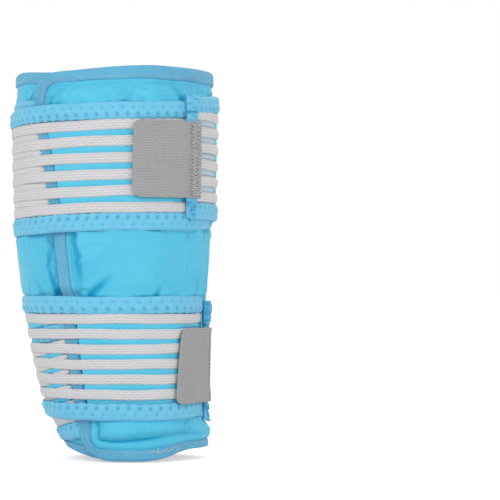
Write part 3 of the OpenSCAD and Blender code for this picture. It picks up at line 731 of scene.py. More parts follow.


# Folds of the cover, each with its points of angle and height, width, depth and painted shade
SEEN_FOLDS = [
    ([(-116, 149), (-111.5, 131), (-110.2, 118), (-111.2, 103)], 2.2, 1.2, 1.3),
    ([(-106.6, 102), (-100.2, 110.2), (-92.8, 115.8)], 2.2, 1.6, 1.5),
    ([(231, 102), (230, 112), (227.5, 124), (230.2, 139)], 1.3, 0.9, 1.0),
    ([(234, 102), (233, 113)], 1.1, 1.1, 1.0),
    ([(221, 102), (217, 114)], 1.4, 0.7, 0.7),
    ([(-65.5, 103), (-63.2, 109.5)], 1.4, 1.2, 1.1),
    ([(-46.5, 227), (-50.5, 235), (-57, 240)], 2.3, 1.3, 0.8),
    ([(-127.5, 228), (-126, 233), (-121.5, 235.5)], 2.3, 1.0, 0.8),
    ([(-84, 228), (-79, 233)], 1.6, 0.5, 0.25),
]


def some_folds(low, high):
    """Small folds along the straps' edges, spread by a fixed seed."""
    found = []
    for a in np.arange(low, high, 9.0):
        for z, way, size in ((103, 1, 1), (145, -1, 1), (229, 1, 0.6)):
            a0, long = a + rng.uniform(-4, 4), rng.uniform(5, 15) * size
            deep, end = rng.uniform(0.15, 0.8), (a0 + rng.uniform(-6, 6), z + way * long)
            # The last value is the fold's painted shade
            found.append(([(a0, z), end], rng.uniform(0.9, 1.7), deep, deep * 0.5))
    return found


FOLDS = SEEN_FOLDS + some_folds(-30, 205)


def creases(a, z):
    """Height and painted shade of the pinched folds, which fade towards their ends."""
    moved, tone = np.zeros(a.shape), np.zeros(a.shape)
    for points, wide, deep, painted_darkness in FOLDS:
        near, along = np.full(a.shape, 1e9), np.zeros(a.shape)
        for n, ((a0, z0), (a1, z1)) in enumerate(zip(points, points[1:])):
            k = per_degree((z0 + z1) / 2)
            x, y, lx, ly = (a - a0) * k, z - z0, (a1 - a0) * k, z1 - z0
            t = np.clip((x * lx + y * ly) / (lx * lx + ly * ly), 0, 1)
            d = np.hypot(x - t * lx, y - t * ly)
            along = np.where(d < near, (n + t) / (len(points) - 1), along)
            near = np.minimum(near, d)
        d, fade = near / wide, 1 - 0.8 * along
        moved -= deep * (1 - 0.55 * d * d) * np.exp(-d * d / 1.4) * fade
        # Painted shade along each fold
        tone += painted_darkness * np.exp(-d * d / 1.3) * fade
    return moved, tone


def ripple(a, z):
    """Slow unevenness of gel beneath thin cloth."""
    return 0.22 * sine(a, 5.3, z * 0.11) + 0.18 * sine(a, 8.9, 1.3 - z * 0.17)


def rim_lines(d, a, z):
    """Share of the loose lower rim, width of the roll past the binding, way in from the roll's crease."""
    low = ramp((34 - z) / 16)
    margin = 2.8 + low * (2.6 + 1.6 * bell((a + 55) / 25)) - 0.6 * ramp((z - 216) / 20)
    return low, margin, d - margin + low * 0.5 * np.sin(a * 0.13 + 2 * np.sin(a * 0.05))


def rim_profile(d, a, z):
    """Height over the flat cloth at a distance past the binding: a soft roll, a crease and the pillow."""
    low, margin, inside = rim_lines(d, a, z)
    sharp = 1 - 0.7 * low * right_share(a)
    free, slack = 1 - pressed(z), mix(0.4, 1, front_share(a))
    roll = free * slack * (0.9 + 0.4 * low) * np.sin(PI * np.clip(d / margin, 0, 1)) ** 0.7
    crease = free * slack * sharp * (0.6 + 0.2 * low) * bell(inside / 0.8)
    rise = dome(mix(d / 1.6, inside / mix(8, 5.5, low), free))
    rise = mix(rise, dome(d / 11), low * free * ramp((a + 40) / 26) * ramp((90 - a) / 8))
    return np.where(d > 0, roll - crease, 0) + gel(a, z) * rise


def rim_tone(d, a, z):
    """Painted shade in the roll's crease and just inside it."""
    low, _, inside = rim_lines(d, a, z)
    left = low * (1 - 0.75 * right_share(a))
    deepest = (0.15 + 0.75 * left) * bell(inside / 0.75)
    deepest = deepest + 0.25 * left * np.exp(-np.maximum(inside, 0) / 3.5) * (inside > 0)
    return np.where(d > 0, deepest * (1 - pressed(z)), 0)


def back_depth(a, z):
    """Distance past the binding's inner edge on the other pieces of the cover."""
    return from_rim(z) - binding_width(z) + 0 * a


def front_depth(a, z):
    """Distance past the binding's inner edge on the front piece."""
    return np.where(a > FLAP_HINGE, back_depth(a, z), flap_depth(a, z) - binding_width(z))


def seam(a, z, at, wide):
    """0 on a seam, 1 beside it."""
    return 1 - bell((a - at) * per_degree(z) / wide)


def sewn_down(way):
    """Share of a pillow's height at a distance in from its seam."""
    return mix(0.12, 1, np.sqrt(ramp(way / 10)))


def flap_top(a, z):
    d = front_depth(a, z)
    h = rim_profile(d, a, z) * (0.95 + 0.05 * seam(a, z, FLAP_HINGE, 4.0))
    for groove in FRONT_SEAMS:
        h = h - 0.12 * (1 - seam(a, z, groove, 0.8)) * ramp(d / 4)
    return h * sewn_down((SEAM_RIGHT - a) * per_degree(z))


def rear_top(a, z):
    sides = np.minimum(a - SEAM_RIGHT, SEAM_BACK - a) * per_degree(z)
    return rim_profile(back_depth(a, z), a, z) * sewn_down(sides)


def left_top(a, z):
    to_edge = (edge(z) + 360 - a) * per_degree(z)
    h = rim_profile(back_depth(a, z), a, z) * sewn_down((a - SEAM_BACK) * per_degree(z))
    return h * dome((to_edge - mix(2.0, 0.8, pressed(z))) / mix(5, 2.5, pressed(z)))


COVER_ROWS = np.concatenate([
    np.arange(1.2, 30, 0.8), np.arange(30, 104, 1.2), np.arange(104, 146, 1.1), np.arange(146, 226, 1.2),
    np.arange(226, 250.9, 0.9)])
CLOTH_PRESSURE, CLOTH_SLACK, CLOTH_BENDING, CLOTH_FRAMES = 2.0, 0.05, 0.05, 20
CLOTH_BLUR, CLOTH_CAP, CLOTH_LOW = 9, 1.2, 0.35


def smoothed(field, wide):
    """A grid of values averaged over a number of cells both ways."""
    weights = np.hanning(wide + 2)[1:-1]

    def soften(row):
        return np.convolve(np.pad(row, wide // 2, "edge"), weights / weights.sum(), "valid")

    return np.apply_along_axis(soften, 1, np.apply_along_axis(soften, 0, field))


def blown(points, held):
    """Cloth simulation of a grid of points that gel swells between held places: how far each point moves."""
    coarse, fixed = points[::2, ::2], held[::2, ::2]
    mesh = bpy.data.meshes.new("trial")
    mesh.from_pydata((coarse.reshape(-1, 3) * MM).tolist(), [], grid_faces(*fixed.shape).tolist())
    trial = add("trial", mesh)
    trial.vertex_groups.new(name="held").add(np.flatnonzero(fixed).tolist(), 1.0, "REPLACE")
    cloth = trial.modifiers.new("cloth", "CLOTH")
    settle(cloth.settings, vertex_group_mass="held", use_pressure=True, shrink_min=-CLOTH_SLACK,
           uniform_pressure_force=CLOTH_PRESSURE, bending_stiffness=CLOTH_BENDING)
    cloth.settings.effector_weights.gravity = 0
    cloth.collision_settings.use_collision = False
    cloth.point_cache.frame_end = CLOTH_FRAMES
    for step in range(1, CLOTH_FRAMES + 1):
        scene.frame_set(step)
    done = trial.evaluated_get(bpy.context.evaluated_depsgraph_get()).to_mesh()
    found = np.empty(coarse.size, np.float32)
    done.vertices.foreach_get("co", found)
    moved = found.reshape(coarse.shape) / MM - coarse
    bpy.data.objects.remove(trial)
    bpy.data.meshes.remove(mesh)
    scene.frame_set(1)
    # The pillow's own height stays, so the slow part of the swelling is taken out and the wrinkles are kept
    moved = (moved - smoothed(moved, CLOTH_BLUR)) * ~fixed[..., None]
    for axis, shape in ((0, (-1, 1, 1)), (1, (1, -1, 1))):
        count, fine = moved.shape[axis], points.shape[axis]
        at = np.minimum(np.arange(fine) / 2, count - 1)
        below = np.minimum(at.astype(int), count - 2)
        share = (at - below).reshape(shape)
        moved = mix(np.take(moved, below, axis), np.take(moved, below + 1, axis), share)
    far = np.linalg.norm(moved, axis=-1, keepdims=True)
    return moved * CLOTH_CAP / np.maximum(far, CLOTH_CAP)


def cover_piece(name, top, columns, depth, raised, hold, *nodes):
    """top(a, z) gives the height of a cover's pillow; the rest is as in FRONT."""
    z = COVER_ROWS[:, None]
    a = columns(z)
    z = z + 0 * a
    d, pillow, low = depth(a, z), top(a, z), raised(a) + COVER_LOW
    loose = ramp(pillow / 2.5) * (1 - pressed(z))
    moved, tone = creases(a, z)
    pillow = pillow + loose * (moved + ripple(a, z))
    outer = around(a, z, low + COVER_THICK + np.maximum(pillow, -0.4))
    held = (pressed(z) > 0.5) | (rim_lines(d, a, z)[2] < 1.5) | (pillow < 0.5)
    held[:, [0, -1]] = True
    outer = outer + blown(outer, held) * mix(CLOTH_LOW, 1, ramp((z - PRESSED[0][0]) / 6))[..., None]
    # Painted shade of the folds and of the rim's crease
    tone = loose * tone + rim_tone(d, a, z)
    shell = Shell().plate(outer, around(a, z, low), pairs(a * per_degree(z), z), tone=tone)
    ob = piece(shell, name, hold, "cover_nylon", NYLON, nodes=nodes)
    return ob


def flap_columns(z):
    start, t = edge(z) + 1.0 / per_degree(z), np.linspace(0, 1, 66)[None, :-1]
    return np.concatenate([mix(start, -54, t ** 1.15), np.linspace(-54, SEAM_RIGHT, 76)[None, :] + 0 * z], 1)


def rear_columns(z):
    return np.linspace(SEAM_RIGHT, SEAM_BACK, 60)[None, :] + 0 * z


def left_columns(z):
    stop, end = edge(z) + 360, INNER_STOP - 1.0 / per_degree(z)
    back = np.linspace(SEAM_BACK, 204, 50)[None, :-1] + 0 * z
    t, tail = np.linspace(0, 1, 40)[None, :-1], np.linspace(0, 1, 22)[None, :]
    return np.concatenate([back, mix(204, stop, t ** 0.9), mix(stop, end, tail)], 1)


# Each panel's columns(z) gives a row's angles and its depth(a, z) the way past the binding
FRONT = (flap_columns, front_depth, lift, on_flap)
REAR = (rear_columns, back_depth, flat, on_back)
LEFT = (left_columns, back_depth, flat, on_inner)
cover_front = cover_piece("cover_front", flap_top, *FRONT,
                          "flap_cover", "front_gel_pack", "back_cover", "right_gel_pack")
cover_rear = cover_piece("cover_rear", rear_top, *REAR, "back_cover", "rear_gel_pack")
cover_left = cover_piece("cover_left", left_top, *LEFT,
                         "inner_cover", "inner_gel_pack", "left_gel_pack", "back_cover")


# Lining on the inner side


def lining_piece(name, cover, wide, columns, depth, raised, hold, *nodes):
    z = np.linspace(3, HEIGHT - 3, 42)[:, None]
    a = columns(z)[:, ::3]
    z = z + 0 * a
    sunk = 0.25 + 0.35 * ramp((3 - depth(a, z)) / 2) + 0.12 * np.sin(a * 0.9) * np.sin(z * 0.23)
    top, under = around(a, z, raised(a) + LINING), around(a, z, raised(a) + sunk)
    shell = Shell().plate(top, under, pairs(a * per_degree(z), z))
    ob = piece(shell, name, hold, "lining_felt", LINER, nodes=nodes)


lining_piece("lining_front", cover_front, 0.178, *FRONT, "flap_lining", "back_lining")
lining_piece("lining_rear", cover_rear, 0.08, *REAR, "back_lining")
lining_piece("lining_left", cover_left, 0.15, *LEFT, "inner_lining", "back_lining")


# Binding folded round the pad's rim, with zigzag sewing

# Cross-section from the inner edge over the fold to the inner side: share of the width, height
RIM_SECTION = np.array([
    (1.0, 2.35), (0.985, 2.95), (0.94, 3.4), (0.82, 3.62), (0.62, 3.66), (0.42, 3.62), (0.22, 3.66),
    (0.08, 3.5), (-0.04, 3.0), (-0.09, 2.2), (-0.1, 1.5), (-0.07, 0.7), (0.02, 0.15), (0.2, -0.05),
    (0.6, -0.05), (0.97, 0.0), (1.0, 0.4)])
# Loose ends of sewing thread on the lower binding: angles and heights
LOOSE_THREADS = (
    [(-77.5, 6.2), (-73.8, 6.0), (-71.0, 5.0), (-66.8, 5.5), (-62.0, 4.6), (-56.5, 5.2), (-52.5, 5.8),
     (-50.3, 4.6), (-51.8, 3.2), (-54.2, 4.0)],
    [(-71.0, 4.6), (-71.4, 6.4), (-71.0, 8.4)],
)
# Heights along a short stitch, and how thick the threads are
STITCH_ARC = np.array([-0.3, 0.1, 0.16, 0.1, -0.3])
RIM_THREAD, LOOSE_THREAD, SEAM_THREAD, TAPE_THREAD = 0.34, 0.42, 0.28, 0.3
END_THREAD, TAB_THREAD, HOOK_WIRE = 0.4, 0.5, 0.26


def rim_path(points, step):
    """Even points along a path of [angle, height], with the inward ways in millimetres."""
    p = np.array(points, float)
    steps = np.hypot(np.diff(p[:, 0]) * per_degree((p[1:, 1] + p[:-1, 1]) / 2), np.diff(p[:, 1]))
    long = np.concatenate([[0], np.cumsum(steps)])
    s = np.linspace(0, long[-1], max(2, int(long[-1] / step)))
    a, z = np.interp(s, long, p[:, 0]), np.interp(s, long, p[:, 1])
    way = [np.gradient(a) * per_degree(z), np.gradient(z)]
    for _ in range(2):
        way = [np.convolve(np.pad(w, 1, "edge"), [0.25, 0.5, 0.25], "valid") for w in way]
    da, dz = way / np.hypot(*way)
    return s, a, z, -dz, da


def flap_rim():
    top, turn = HEIGHT - RIM, 1 - np.cos(np.radians(np.arange(0, 91, 6)))
    side = np.linspace(top - UPPER_CORNER - 1, RIM + LOWER_CORNER + 1, 90)
    z = np.concatenate([top - UPPER_CORNER * turn, side, (RIM + LOWER_CORNER * turn)[::-1]])
    return [*((a, top) for a in (SEAM_RIGHT, 0, -40, -80, -110)), *zip(edge(z), z),
            *((a, RIM) for a in (-105, -80, -40, 0, SEAM_RIGHT))]


def inner_rim():
    low = [(SEAM_BACK, RIM), (170, RIM), (230, RIM), (INNER_STOP - 3, RIM), (INNER_STOP - 0.8, RIM + 0.8),
           (INNER_STOP, RIM + 3)]
    return low + [(INNER_STOP, 60), (INNER_STOP, 190)] + [(a, HEIGHT - z) for a, z in low[::-1]]


def rim_piece(name, points, raised, hold, *nodes):
    s, a, z, na, nz = rim_path(points, 1.6)
    wide = binding_width(z)
    across, height = RIM_SECTION.T
    sunk = bell((across - 0.72) / 0.16) * (height > 2)
    h = height - sunk * (0.22 + 0.16 * np.cos(2 * PI * s / 2.6)[:, None])
    h = h + (height > 3) * 0.12 * np.sin(s / 7.3 + 1.1 * np.sin(s / 17))[:, None]
    d = across * wide[:, None] + (across > 0.9) * 0.25 * np.sin(s / 5.1)[:, None]
    if raised is lift:
        # The landing straps press the flap's side flat
        room = (landing_off(a + 360) - 0.35 - lift(a)) / 3.72
        h = h * np.where(h > 0.5, 1 + ((room - 1) * pressed(z) * (np.abs(na) > 0.7))[:, None], 1)
    at = a[:, None] + d * na[:, None] / per_degree(z)[:, None]
    shell = Shell().tube(around(at, z[:, None] + d * nz[:, None], h + raised(at)), pairs(s[:, None], d))
    piece(shell, name, hold, "pad_binding", PAD_TAPE, nodes=nodes)
    # Zigzag thread, dipping into the tape at each turn
    turns = int(s[-1] / 1.3)
    k, zig, dip = zigzag(turns, 3)
    a, z, na, nz, wide = (np.interp(k * s[-1] / turns, s, x) for x in (a, z, na, nz, wide))
    d = (0.6 + 0.27 * zig) * wide
    a = a + d * na / per_degree(z)
    sew = Shell().thread(around(a, z + d * nz, 3.67 - 0.35 * dip ** 3 + raised(a)), RIM_THREAD, outward(a))
    piece(sew, name + "_sewing", hold, "thread", PALE)


rim_piece("binding_front", flap_rim(), lift, on_flap,
          "flap_binding", "back_top_binding", "back_bottom_binding")
ends = Shell()
for points in LOOSE_THREADS:
    s, a, z = rim_path(points, 0.6)[:3]
    ends.thread(around(a, z, lift(a) + 3.85 + 0.12 * np.sin(s)), LOOSE_THREAD, outward(a))
piece(ends, "binding_front_thread_end", riding("front_flap"), "thread", WHITE)
rim_piece("binding_rear_top", [(a, HEIGHT - RIM) for a in (SEAM_BACK, 86, SEAM_RIGHT)], flat, on_back,
          "back_top_binding")
rim_piece("binding_rear_bottom", [(a, RIM) for a in (SEAM_RIGHT, 86, SEAM_BACK)], flat, on_back,
          "back_bottom_binding")
rim_piece("binding_left", inner_rim(), flat, on_inner,
          "inner_binding", "back_top_binding", "back_bottom_binding")


def seam_stitches(name, angles, inset, raised, top, hold):
    """Rows of short stitches up the pad's seams."""
    sew = Shell()
    for at in angles:
        for low in np.arange(12, HEIGHT - 12, 3.1):
            z = low + np.linspace(0, 2.2, 5)
            a = at + 0 * z
            level = raised(a) + COVER_LOW + COVER_THICK + top(a, z)
            sew.thread(around(a, z, level + inset + STITCH_ARC), SEAM_THREAD, outward(a))
    piece(sew, name, hold, "thread", BLUE)


seam_stitches("seam_front_sewing", FRONT_SEAMS, 0.05, lift, flap_top, on_flap)
seam_stitches("seam_right_sewing", [SEAM_RIGHT - 2.2], 0.1, lift, flap_top, on_flap)
seam_stitches("seam_rear_sewing", [SEAM_RIGHT + 2.2, SEAM_BACK - 2.2], 0.1, flat, rear_top, on_back)
seam_stitches("seam_left_sewing", [SEAM_BACK + 2.2], 0.1, flat, left_top, on_inner)


# Straps: elastic strips between two edge tapes

FLAP_SIDE, UNDER_FLAP, RUN_ON, END_SINK = 228.0, 2.75, 2.0, (2.6, 0.0)
STITCH_PITCH, ROW_NEAR, ROW_FAR = (5.6, 6.1), 8.2, 3.7
# Rows of dents along a tape: distance in from the edge, shift, depth, width, height, painted shade
DENT_ROWS = ((ROW_NEAR, 0.0, 0.8, 0.9, 1.3, 0.62), (ROW_FAR, 0.5, 0.45, 0.7, 0.9, 0.42))


def even(s, low, high, step):
    """Angles along a strap, a step in millimetres apart."""
    return np.linspace(low, high, max(2, int((high - low) * HOOK_DEGREE[s] / step)))


def strip_section(wide):
    """Outline of a strip, over the top and back beneath: place across, height."""
    x, low = np.linspace(-1, 1, 17), np.linspace(1, -1, 5)
    t = STRIP_THICK * (1.0 - 0.68 * np.abs(x) ** 5) + 0.05 * np.cos(4 * PI * (x + 1) + PI) * (1 - x ** 8)
    return np.concatenate([x, low]) * wide / 2, np.concatenate([t, 0.05 + 0.25 * np.abs(low) ** 6])


def run_span(s, low, high, mid, place, step):
    """Angles along a run, and 0 to 1 where it goes down: without a high end, beneath the flap's side."""
    stop = high or float(edge(mid(s, FLAP_SIDE) + place)) + 360 + RUN_ON
    a = even(s, low, stop, step)
    return a, 0 * a if high else ramp((a - stop + 2.6) / 2.2)


def own(s, *endings):
    """Names of a strap's solids."""
    return [f"{NAMES[s]}_{ending}" for ending in endings]


def strips(s, run, low, high, mid, off, hold, *nodes):
    shell = Shell()
    q, t = strip_section(STRIP[s])
    for k in range(STRIPS):
        centre = strip_low(s, k) + STRIP[s] / 2
        a, down = run_span(s, low, high, mid, centre, 2.4)
        sway = 0.22 * sine(a, 4.1, k * 1.7 + s) + 0.12 * sine(a, 9.7, k * 2.9)
        puff = 0.0096 * sine(a, 6.3, k * 2.1)
        z = mid(s, a) + centre + sway
        if not high and k == STRIPS - 1:
            z = z + tucked(s, a)[0]
        z = z[:, None] + q
        # Where another run lies over this one, the strips bulge into its gaps
        crossed = (1 - s) * ramp((a - 309) / 6) if high else ramp((a - 158) / 14)
        over = HOOK_Z[s] if high else landing_z(s, a[:, None])
        between = gap_share(s, z - over) * (t > 0.4) * crossed[:, None]
        crown = 0.5 * window(a, -44, 60, 20)
        bulge = 1.2 * between + (t > 0.4) * (1 - (2 * q / STRIP[s]) ** 2) * crown[:, None]
        level = mix(off(a), UNDER_FLAP, down) + (crossed if high else 0)
        level = level[:, None] - hug(a[:, None], z) + t * (1 + puff - 0.25 * down)[:, None] + bulge
        long = a[:, None] * HOOK_DEGREE[s] + 1.05 * (k % 2)
        uv = pairs(long, (q / STRIP[s] + 0.5 + k) * KNIT_WIDE)
        # Painted blue-grey shade on the upper landing strips where they show in the gaps beneath the hook
        # strips
        shell.tube(around(a[:, None], z, level), uv, tone=0.9 * between if high else 0.0)
    return piece(shell, f"strips_{NAMES[s]}_{run}", hold, "elastic_strips", KNIT, nodes=own(s, *nodes))


def tape(name, s, side, low, high, mid, off, hold, *nodes):
    """Edge tape of a strap with its zigzag sewing; side 1 is the upper edge."""
    pitch = STITCH_PITCH[s]
    a, down = run_span(s, low, high, mid, side * (HALF[s] - 5), 0.6)
    long = (a - a[0]) * HOOK_DEGREE[s]
    phase = long / pitch
    swing = np.cos(2 * PI * phase)[:, None]
    x, low_x = np.linspace(-1, 1, 29), np.linspace(1, -1, 7)
    depth = (1 - x * side) / 2 * EDGE
    t = EDGE_THICK * (1.04 - 0.62 * np.abs(x) ** 5) + 0.16 * bell((depth - 1.6) / 1.4)
    t = t + 0.42 * (0.5 - 0.5 * swing) * bell((depth - ROW_NEAR + 0.8) / 1.7)
    t = t - 0.16 * bell((depth - mix(ROW_FAR, ROW_NEAR, np.abs(phase % 1 * 2 - 1)[:, None])) / 0.7)
    # Dents get painted shade as well as depth
    tone = np.zeros(t.shape)
    for row, shift, deep, wide, tall, painted_darkness in DENT_ROWS:
        turn = (((phase + shift + 0.5) % 1 - 0.5) * pitch)[:, None]
        mark = bell((turn - 0.25 * (depth - row)) / wide) * bell((depth - row) / tall)
        t, tone = t - deep * mark, tone + painted_darkness * mark
    q = x * EDGE / 2 + side * 0.5 * swing * bell(depth - EDGE)
    # The underside closes the section
    rest = np.ones((len(a), 1))
    q = np.concatenate([q, rest * low_x * EDGE / 2], 1)
    t = np.concatenate([t, rest * (0.1 + 0.5 * np.abs(low_x) ** 8)], 1)
    tone = np.concatenate([tone, rest * 0 * low_x], 1)
    sway = 0.3 * sine(a, 3.3, s + side) + 0.12 * sine(a, 11.0)
    z = mid(s, a) + side * (HALF[s] - EDGE / 2) + sway - (side > 0) * END_SINK[s] * ramp((-6 - a) / 34)
    level, flatter = mix(off(a), UNDER_FLAP, down), 1 - 0.42 * down
    height = level[:, None] - hug(a[:, None], z[:, None] + q) + t * flatter[:, None]
    shell = Shell().tube(around(a[:, None], z[:, None] + q, height), pairs(long[:, None], q + 6), tone=tone)
    ob = piece(shell, name, hold, "strap_tape", STRAP, nodes=nodes)
    k, zig, dip = zigzag(int(phase[-1] * 2), 6)
    at = np.clip(k * pitch / 2, 0, long[-1])
    aa = np.interp(at, long, a)
    zz = np.interp(at, long, z) + side * (EDGE / 2 - mix(ROW_FAR, ROW_NEAR, zig))
    top = np.interp(aa, a, level + EDGE_THICK * flatter) - hug(aa, zz)
    sew = Shell().thread(around(aa, zz, top - 0.9 * dip ** 4), TAPE_THREAD, outward(aa), sides=6)
    return [ob, piece(sew, name + "_sewing", hold, "thread", STITCH)]


def tapes(s, run, low, high, mids, off, hold, *nodes):
    """Both edge tapes of a run; top or bottom is put into the nodes' names."""
    made = []
    for side, word, mid in zip((1, -1), ("top", "bottom"), mids):
        name = f"tape_{NAMES[s]}_{run}_{word}"
        made += tape(name, s, side, low, high, mid, off, hold, *own(s, *(n.format(word) for n in nodes)))
    return made


def cross_tape(s, end, low, high, hold, under):
    """Tape sewn across a landing strap's end; under is its own underside over that of the strips."""
    a = even(s, low, high, 0.7)
    z = np.linspace(-HALF[s] + EDGE + 0.3, HALF[s] - EDGE - 0.3, 60)[:, None]
    x = np.linspace(-1, 1, len(a))
    top = STRIP_THICK + 0.8 - 0.35 * np.abs(x) ** 4 + 0.1 * np.sin(z * 2 * PI / (STRIP[s] + GAP[s]))
    level, height = landing_off(a), landing_z(s, a) + z
    shell = Shell().plate(around(a, height, level + top), around(a, height, level + under),
                          pairs(a * HOOK_DEGREE[s], z))
    return piece(shell, f"end_{NAMES[s]}_{end}", hold, "strap_tape", STRAP, nodes=own(s, end + "_end"))


def hook_level(a):
    return np.where(np.asarray(a) > HOOK_HINGE, ANCHOR_OFF, hook_off(a))


def tucked_z(s, a):
    return anchor_z(s, a) + tucked(s, a)[1]


def declare(s, degrees, out):
    """Works out the flat size of a run's strips but declares nothing; out is how far out it runs."""
    tall, long = (HALF[s] - EDGE) * 2 * MM, degrees * (radius(HOOK_Z[s]) + out) * PI / 180 * MM
    STRIPS * STRIP[s] * MM * long


for s in (0, 1):
    span, tip, end = (LANDING_SEWN, LANDING_TIP), riding(NAMES[s] + "_landing_strap"), HOOK_END[s]
    kept = strips(s, "landing", *span, landing_z, landing_off, on_landing[s], "landing_strips", "sewn_strips")
    others = tapes(s, "landing", *span, (landing_z, landing_z), landing_off, on_landing[s],
                   "landing_{}_tape", "sewn_tapes")
    others.append(cross_tape(s, "sewn", LANDING_SEWN, LANDING_SEWN + 5, on_back, -0.4))
    others.append(cross_tape(s, "landing", LANDING_TIP - 2.4, LANDING_TIP, tip, STRIP_THICK + 0.02))
    declare(s, LANDING_TIP - LANDING_SEWN, 10)

    kept = strips(s, "hook", end + 0.4, SEAM_BACK, anchor_z, hook_level, on_hook[s],
                  "hook_strips", "anchor_strips")
    others = tapes(s, "hook", end + 0.6, SEAM_BACK, (anchor_z, anchor_z), hook_level, on_hook[s],
                   "hook_{}_tape", "anchor_tapes")
    declare(s, SEAM_BACK - end, 8)

    kept = strips(s, "anchor", SEAM_BACK, None, anchor_z, filled_level, on_inner,
                  "anchor_strips", "anchor_end_strips")
    others = tapes(s, "anchor", SEAM_BACK, None, (anchor_z, tucked_z), anchor_level, on_inner,
                   "anchor_tapes", "anchor_end_tapes")
    declare(s, 100, 7)


# Folded tape over the free end of each hook strap

# FOLD_PAINTED_SHADE is painted shade below the tab on each strap's end fold
PINCHES, KNOT, END_OVER, FOLD_PAINTED_SHADE = ((6.0, -7.0), (9.0, -7.0)), (0.0, 1.2), (0.0, 2.4), (0.3, 0.0)
# Cross-section round the strap's end: share of the width, height over the strap's underside
END_SECTION = np.array([
    (1.0, 1.7), (0.97, 2.2), (0.9, 2.44), (0.8, 2.52), (0.7, 2.56), (0.6, 2.58), (0.5, 2.58), (0.4, 2.56),
    (0.3, 2.54), (0.2, 2.5), (0.12, 2.4), (0.05, 2.1), (0.0, 1.3), (0.05, 0.4), (0.2, 0.02), (0.5, -0.1),
    (0.8, -0.05), (0.97, 0.2)])


def end_fold(s):
    hold, k = riding(NAMES[s] + "_hook_strap"), HOOK_DEGREE[s]
    bottom, peak, over = -HALF[s] - 0.5, HALF[s] + 0.3 - END_SINK[s], TAB_Z[s] - HOOK_Z[s]
    z = np.linspace(bottom, peak, 190)
    top, low = over + TAB_HEIGHT / 2, over - TAB_HEIGHT / 2
    knots = (bottom, low - 10.4, low - 8, low - 6.2, low - 3.4, low, top, top + 4, top + 9, peak)
    start = np.interp(z, knots, (2.2, 1.2, 1.4, 2.0, 0.4, -0.6, -0.6, -0.3, -0.5, -0.8))
    wide = np.interp(z, knots, (5.8, 6.6, 6.2, 5.4, 8.0, 8.6, 8.6, 8.2, 8.6, 8.4)) - start
    start = start - END_OVER[s] * ramp((z - top - 1) / 2)
    rise = np.where(np.abs(z) > HALF[s] - EDGE, 0.45, 0.0)
    rise = np.convolve(np.pad(rise, 4, "edge"), np.ones(9) / 9, "valid")
    outside = ramp((z - top - 0.4) / 1.2) + ramp((low - 0.4 - z) / 1.2)
    pinch = sum(bell((z - (top if at > 0 else low) - at) / 0.8) for at in PINCHES[s])
    knot = KNOT[s] * (bell((z - top - 12.2) / 3.2) + 0.8 * bell((z - top - 5.8) / 2.4))
    raised = rise + outside * 0.3 + knot - 0.55 * pinch
    # Painted shade on the fold: on the knotted part, below the tab and at the pinches
    shaded = outside * 0.4 * KNOT[s] + FOLD_PAINTED_SHADE[s] * ramp((low - z) / 2) + 0.7 * pinch
    across, height = END_SECTION.T
    up, column = height > 1, z[:, None]
    x = start[:, None] + across * wide[:, None]
    crumple = 0.26 * np.sin(column * 1.1 + 5 * across) + 0.24 * np.sin(column * 2.3 - 3 * across)
    weave = 0.16 * np.sin(column * 4.4) * np.sin(x * 4.1)
    h = height + up * (raised[:, None] + outside[:, None] * (crumple + weave))
    # Painted shade also darkens the crumples' hollows
    tone = up * (shaded[:, None] + outside[:, None] * np.clip(-crumple, 0, 0.5))
    a = HOOK_END[s] + x / k
    shell = Shell().tube(around(a, HOOK_Z[s] + column, hook_off(a) + h), pairs(column, x + 2), tone=tone)
    piece(shell, f"end_{NAMES[s]}_hook", hold, "strap_tape", STRAP, nodes=own(s, "hook_end_tape"))
    sew = Shell()
    for at in (top + 5.5, top + 7.2, low - 5.0, low - 6.6):
        level = np.interp(at, z, rise) + 2.95
        for first in np.arange(0.4, 6.5, 1.9):
            a = HOOK_END[s] + (first + np.linspace(0, 1.4, 5)) / k
            sew.thread(around(a, HOOK_Z[s] + at, hook_off(a) + level + STITCH_ARC), END_THREAD, outward(a))
    piece(sew, f"end_{NAMES[s]}_hook_sewing", hold, "thread", BLUE)


# Hook tabs

TAB_HALF, TAB_CORNER = TAB_HEIGHT / 2, 5.0
TAB_LEAN, TAB_SHORT, TAB_SWING = (0.4, 3.0), (0.0, 1.6), (0.0, 0.7)


def foot_off(a):
    """Underside of a tab's sewn foot."""
    return hook_off(a) + STRIP_THICK + 1.1


def tab_off(s, a):
    """Underside of a tab, whose free edge stands a little off the strips."""
    grip = landing_off(a + 360) + STRIP_THICK + 1.3
    free = mix(grip, foot_off(HOOK_END[s]), ramp((a - HOOK_END[s] + 14) / 14))
    stand = 0.35 * ramp((HOOK_END[s] - TAB_REACH[s] + 8 - a) / 8)
    return np.where(a >= HOOK_END[s], foot_off(a), free) + stand


def tab_tip(s, z):
    """Angle of the tab's free edge, with its rounded corners."""
    drawn = corner(TAB_HALF - np.abs(z), TAB_CORNER) + TAB_SHORT[s] + TAB_LEAN[s] * z / TAB_HALF
    return HOOK_END[s] - TAB_REACH[s] + drawn / TAB_DEGREE[s]


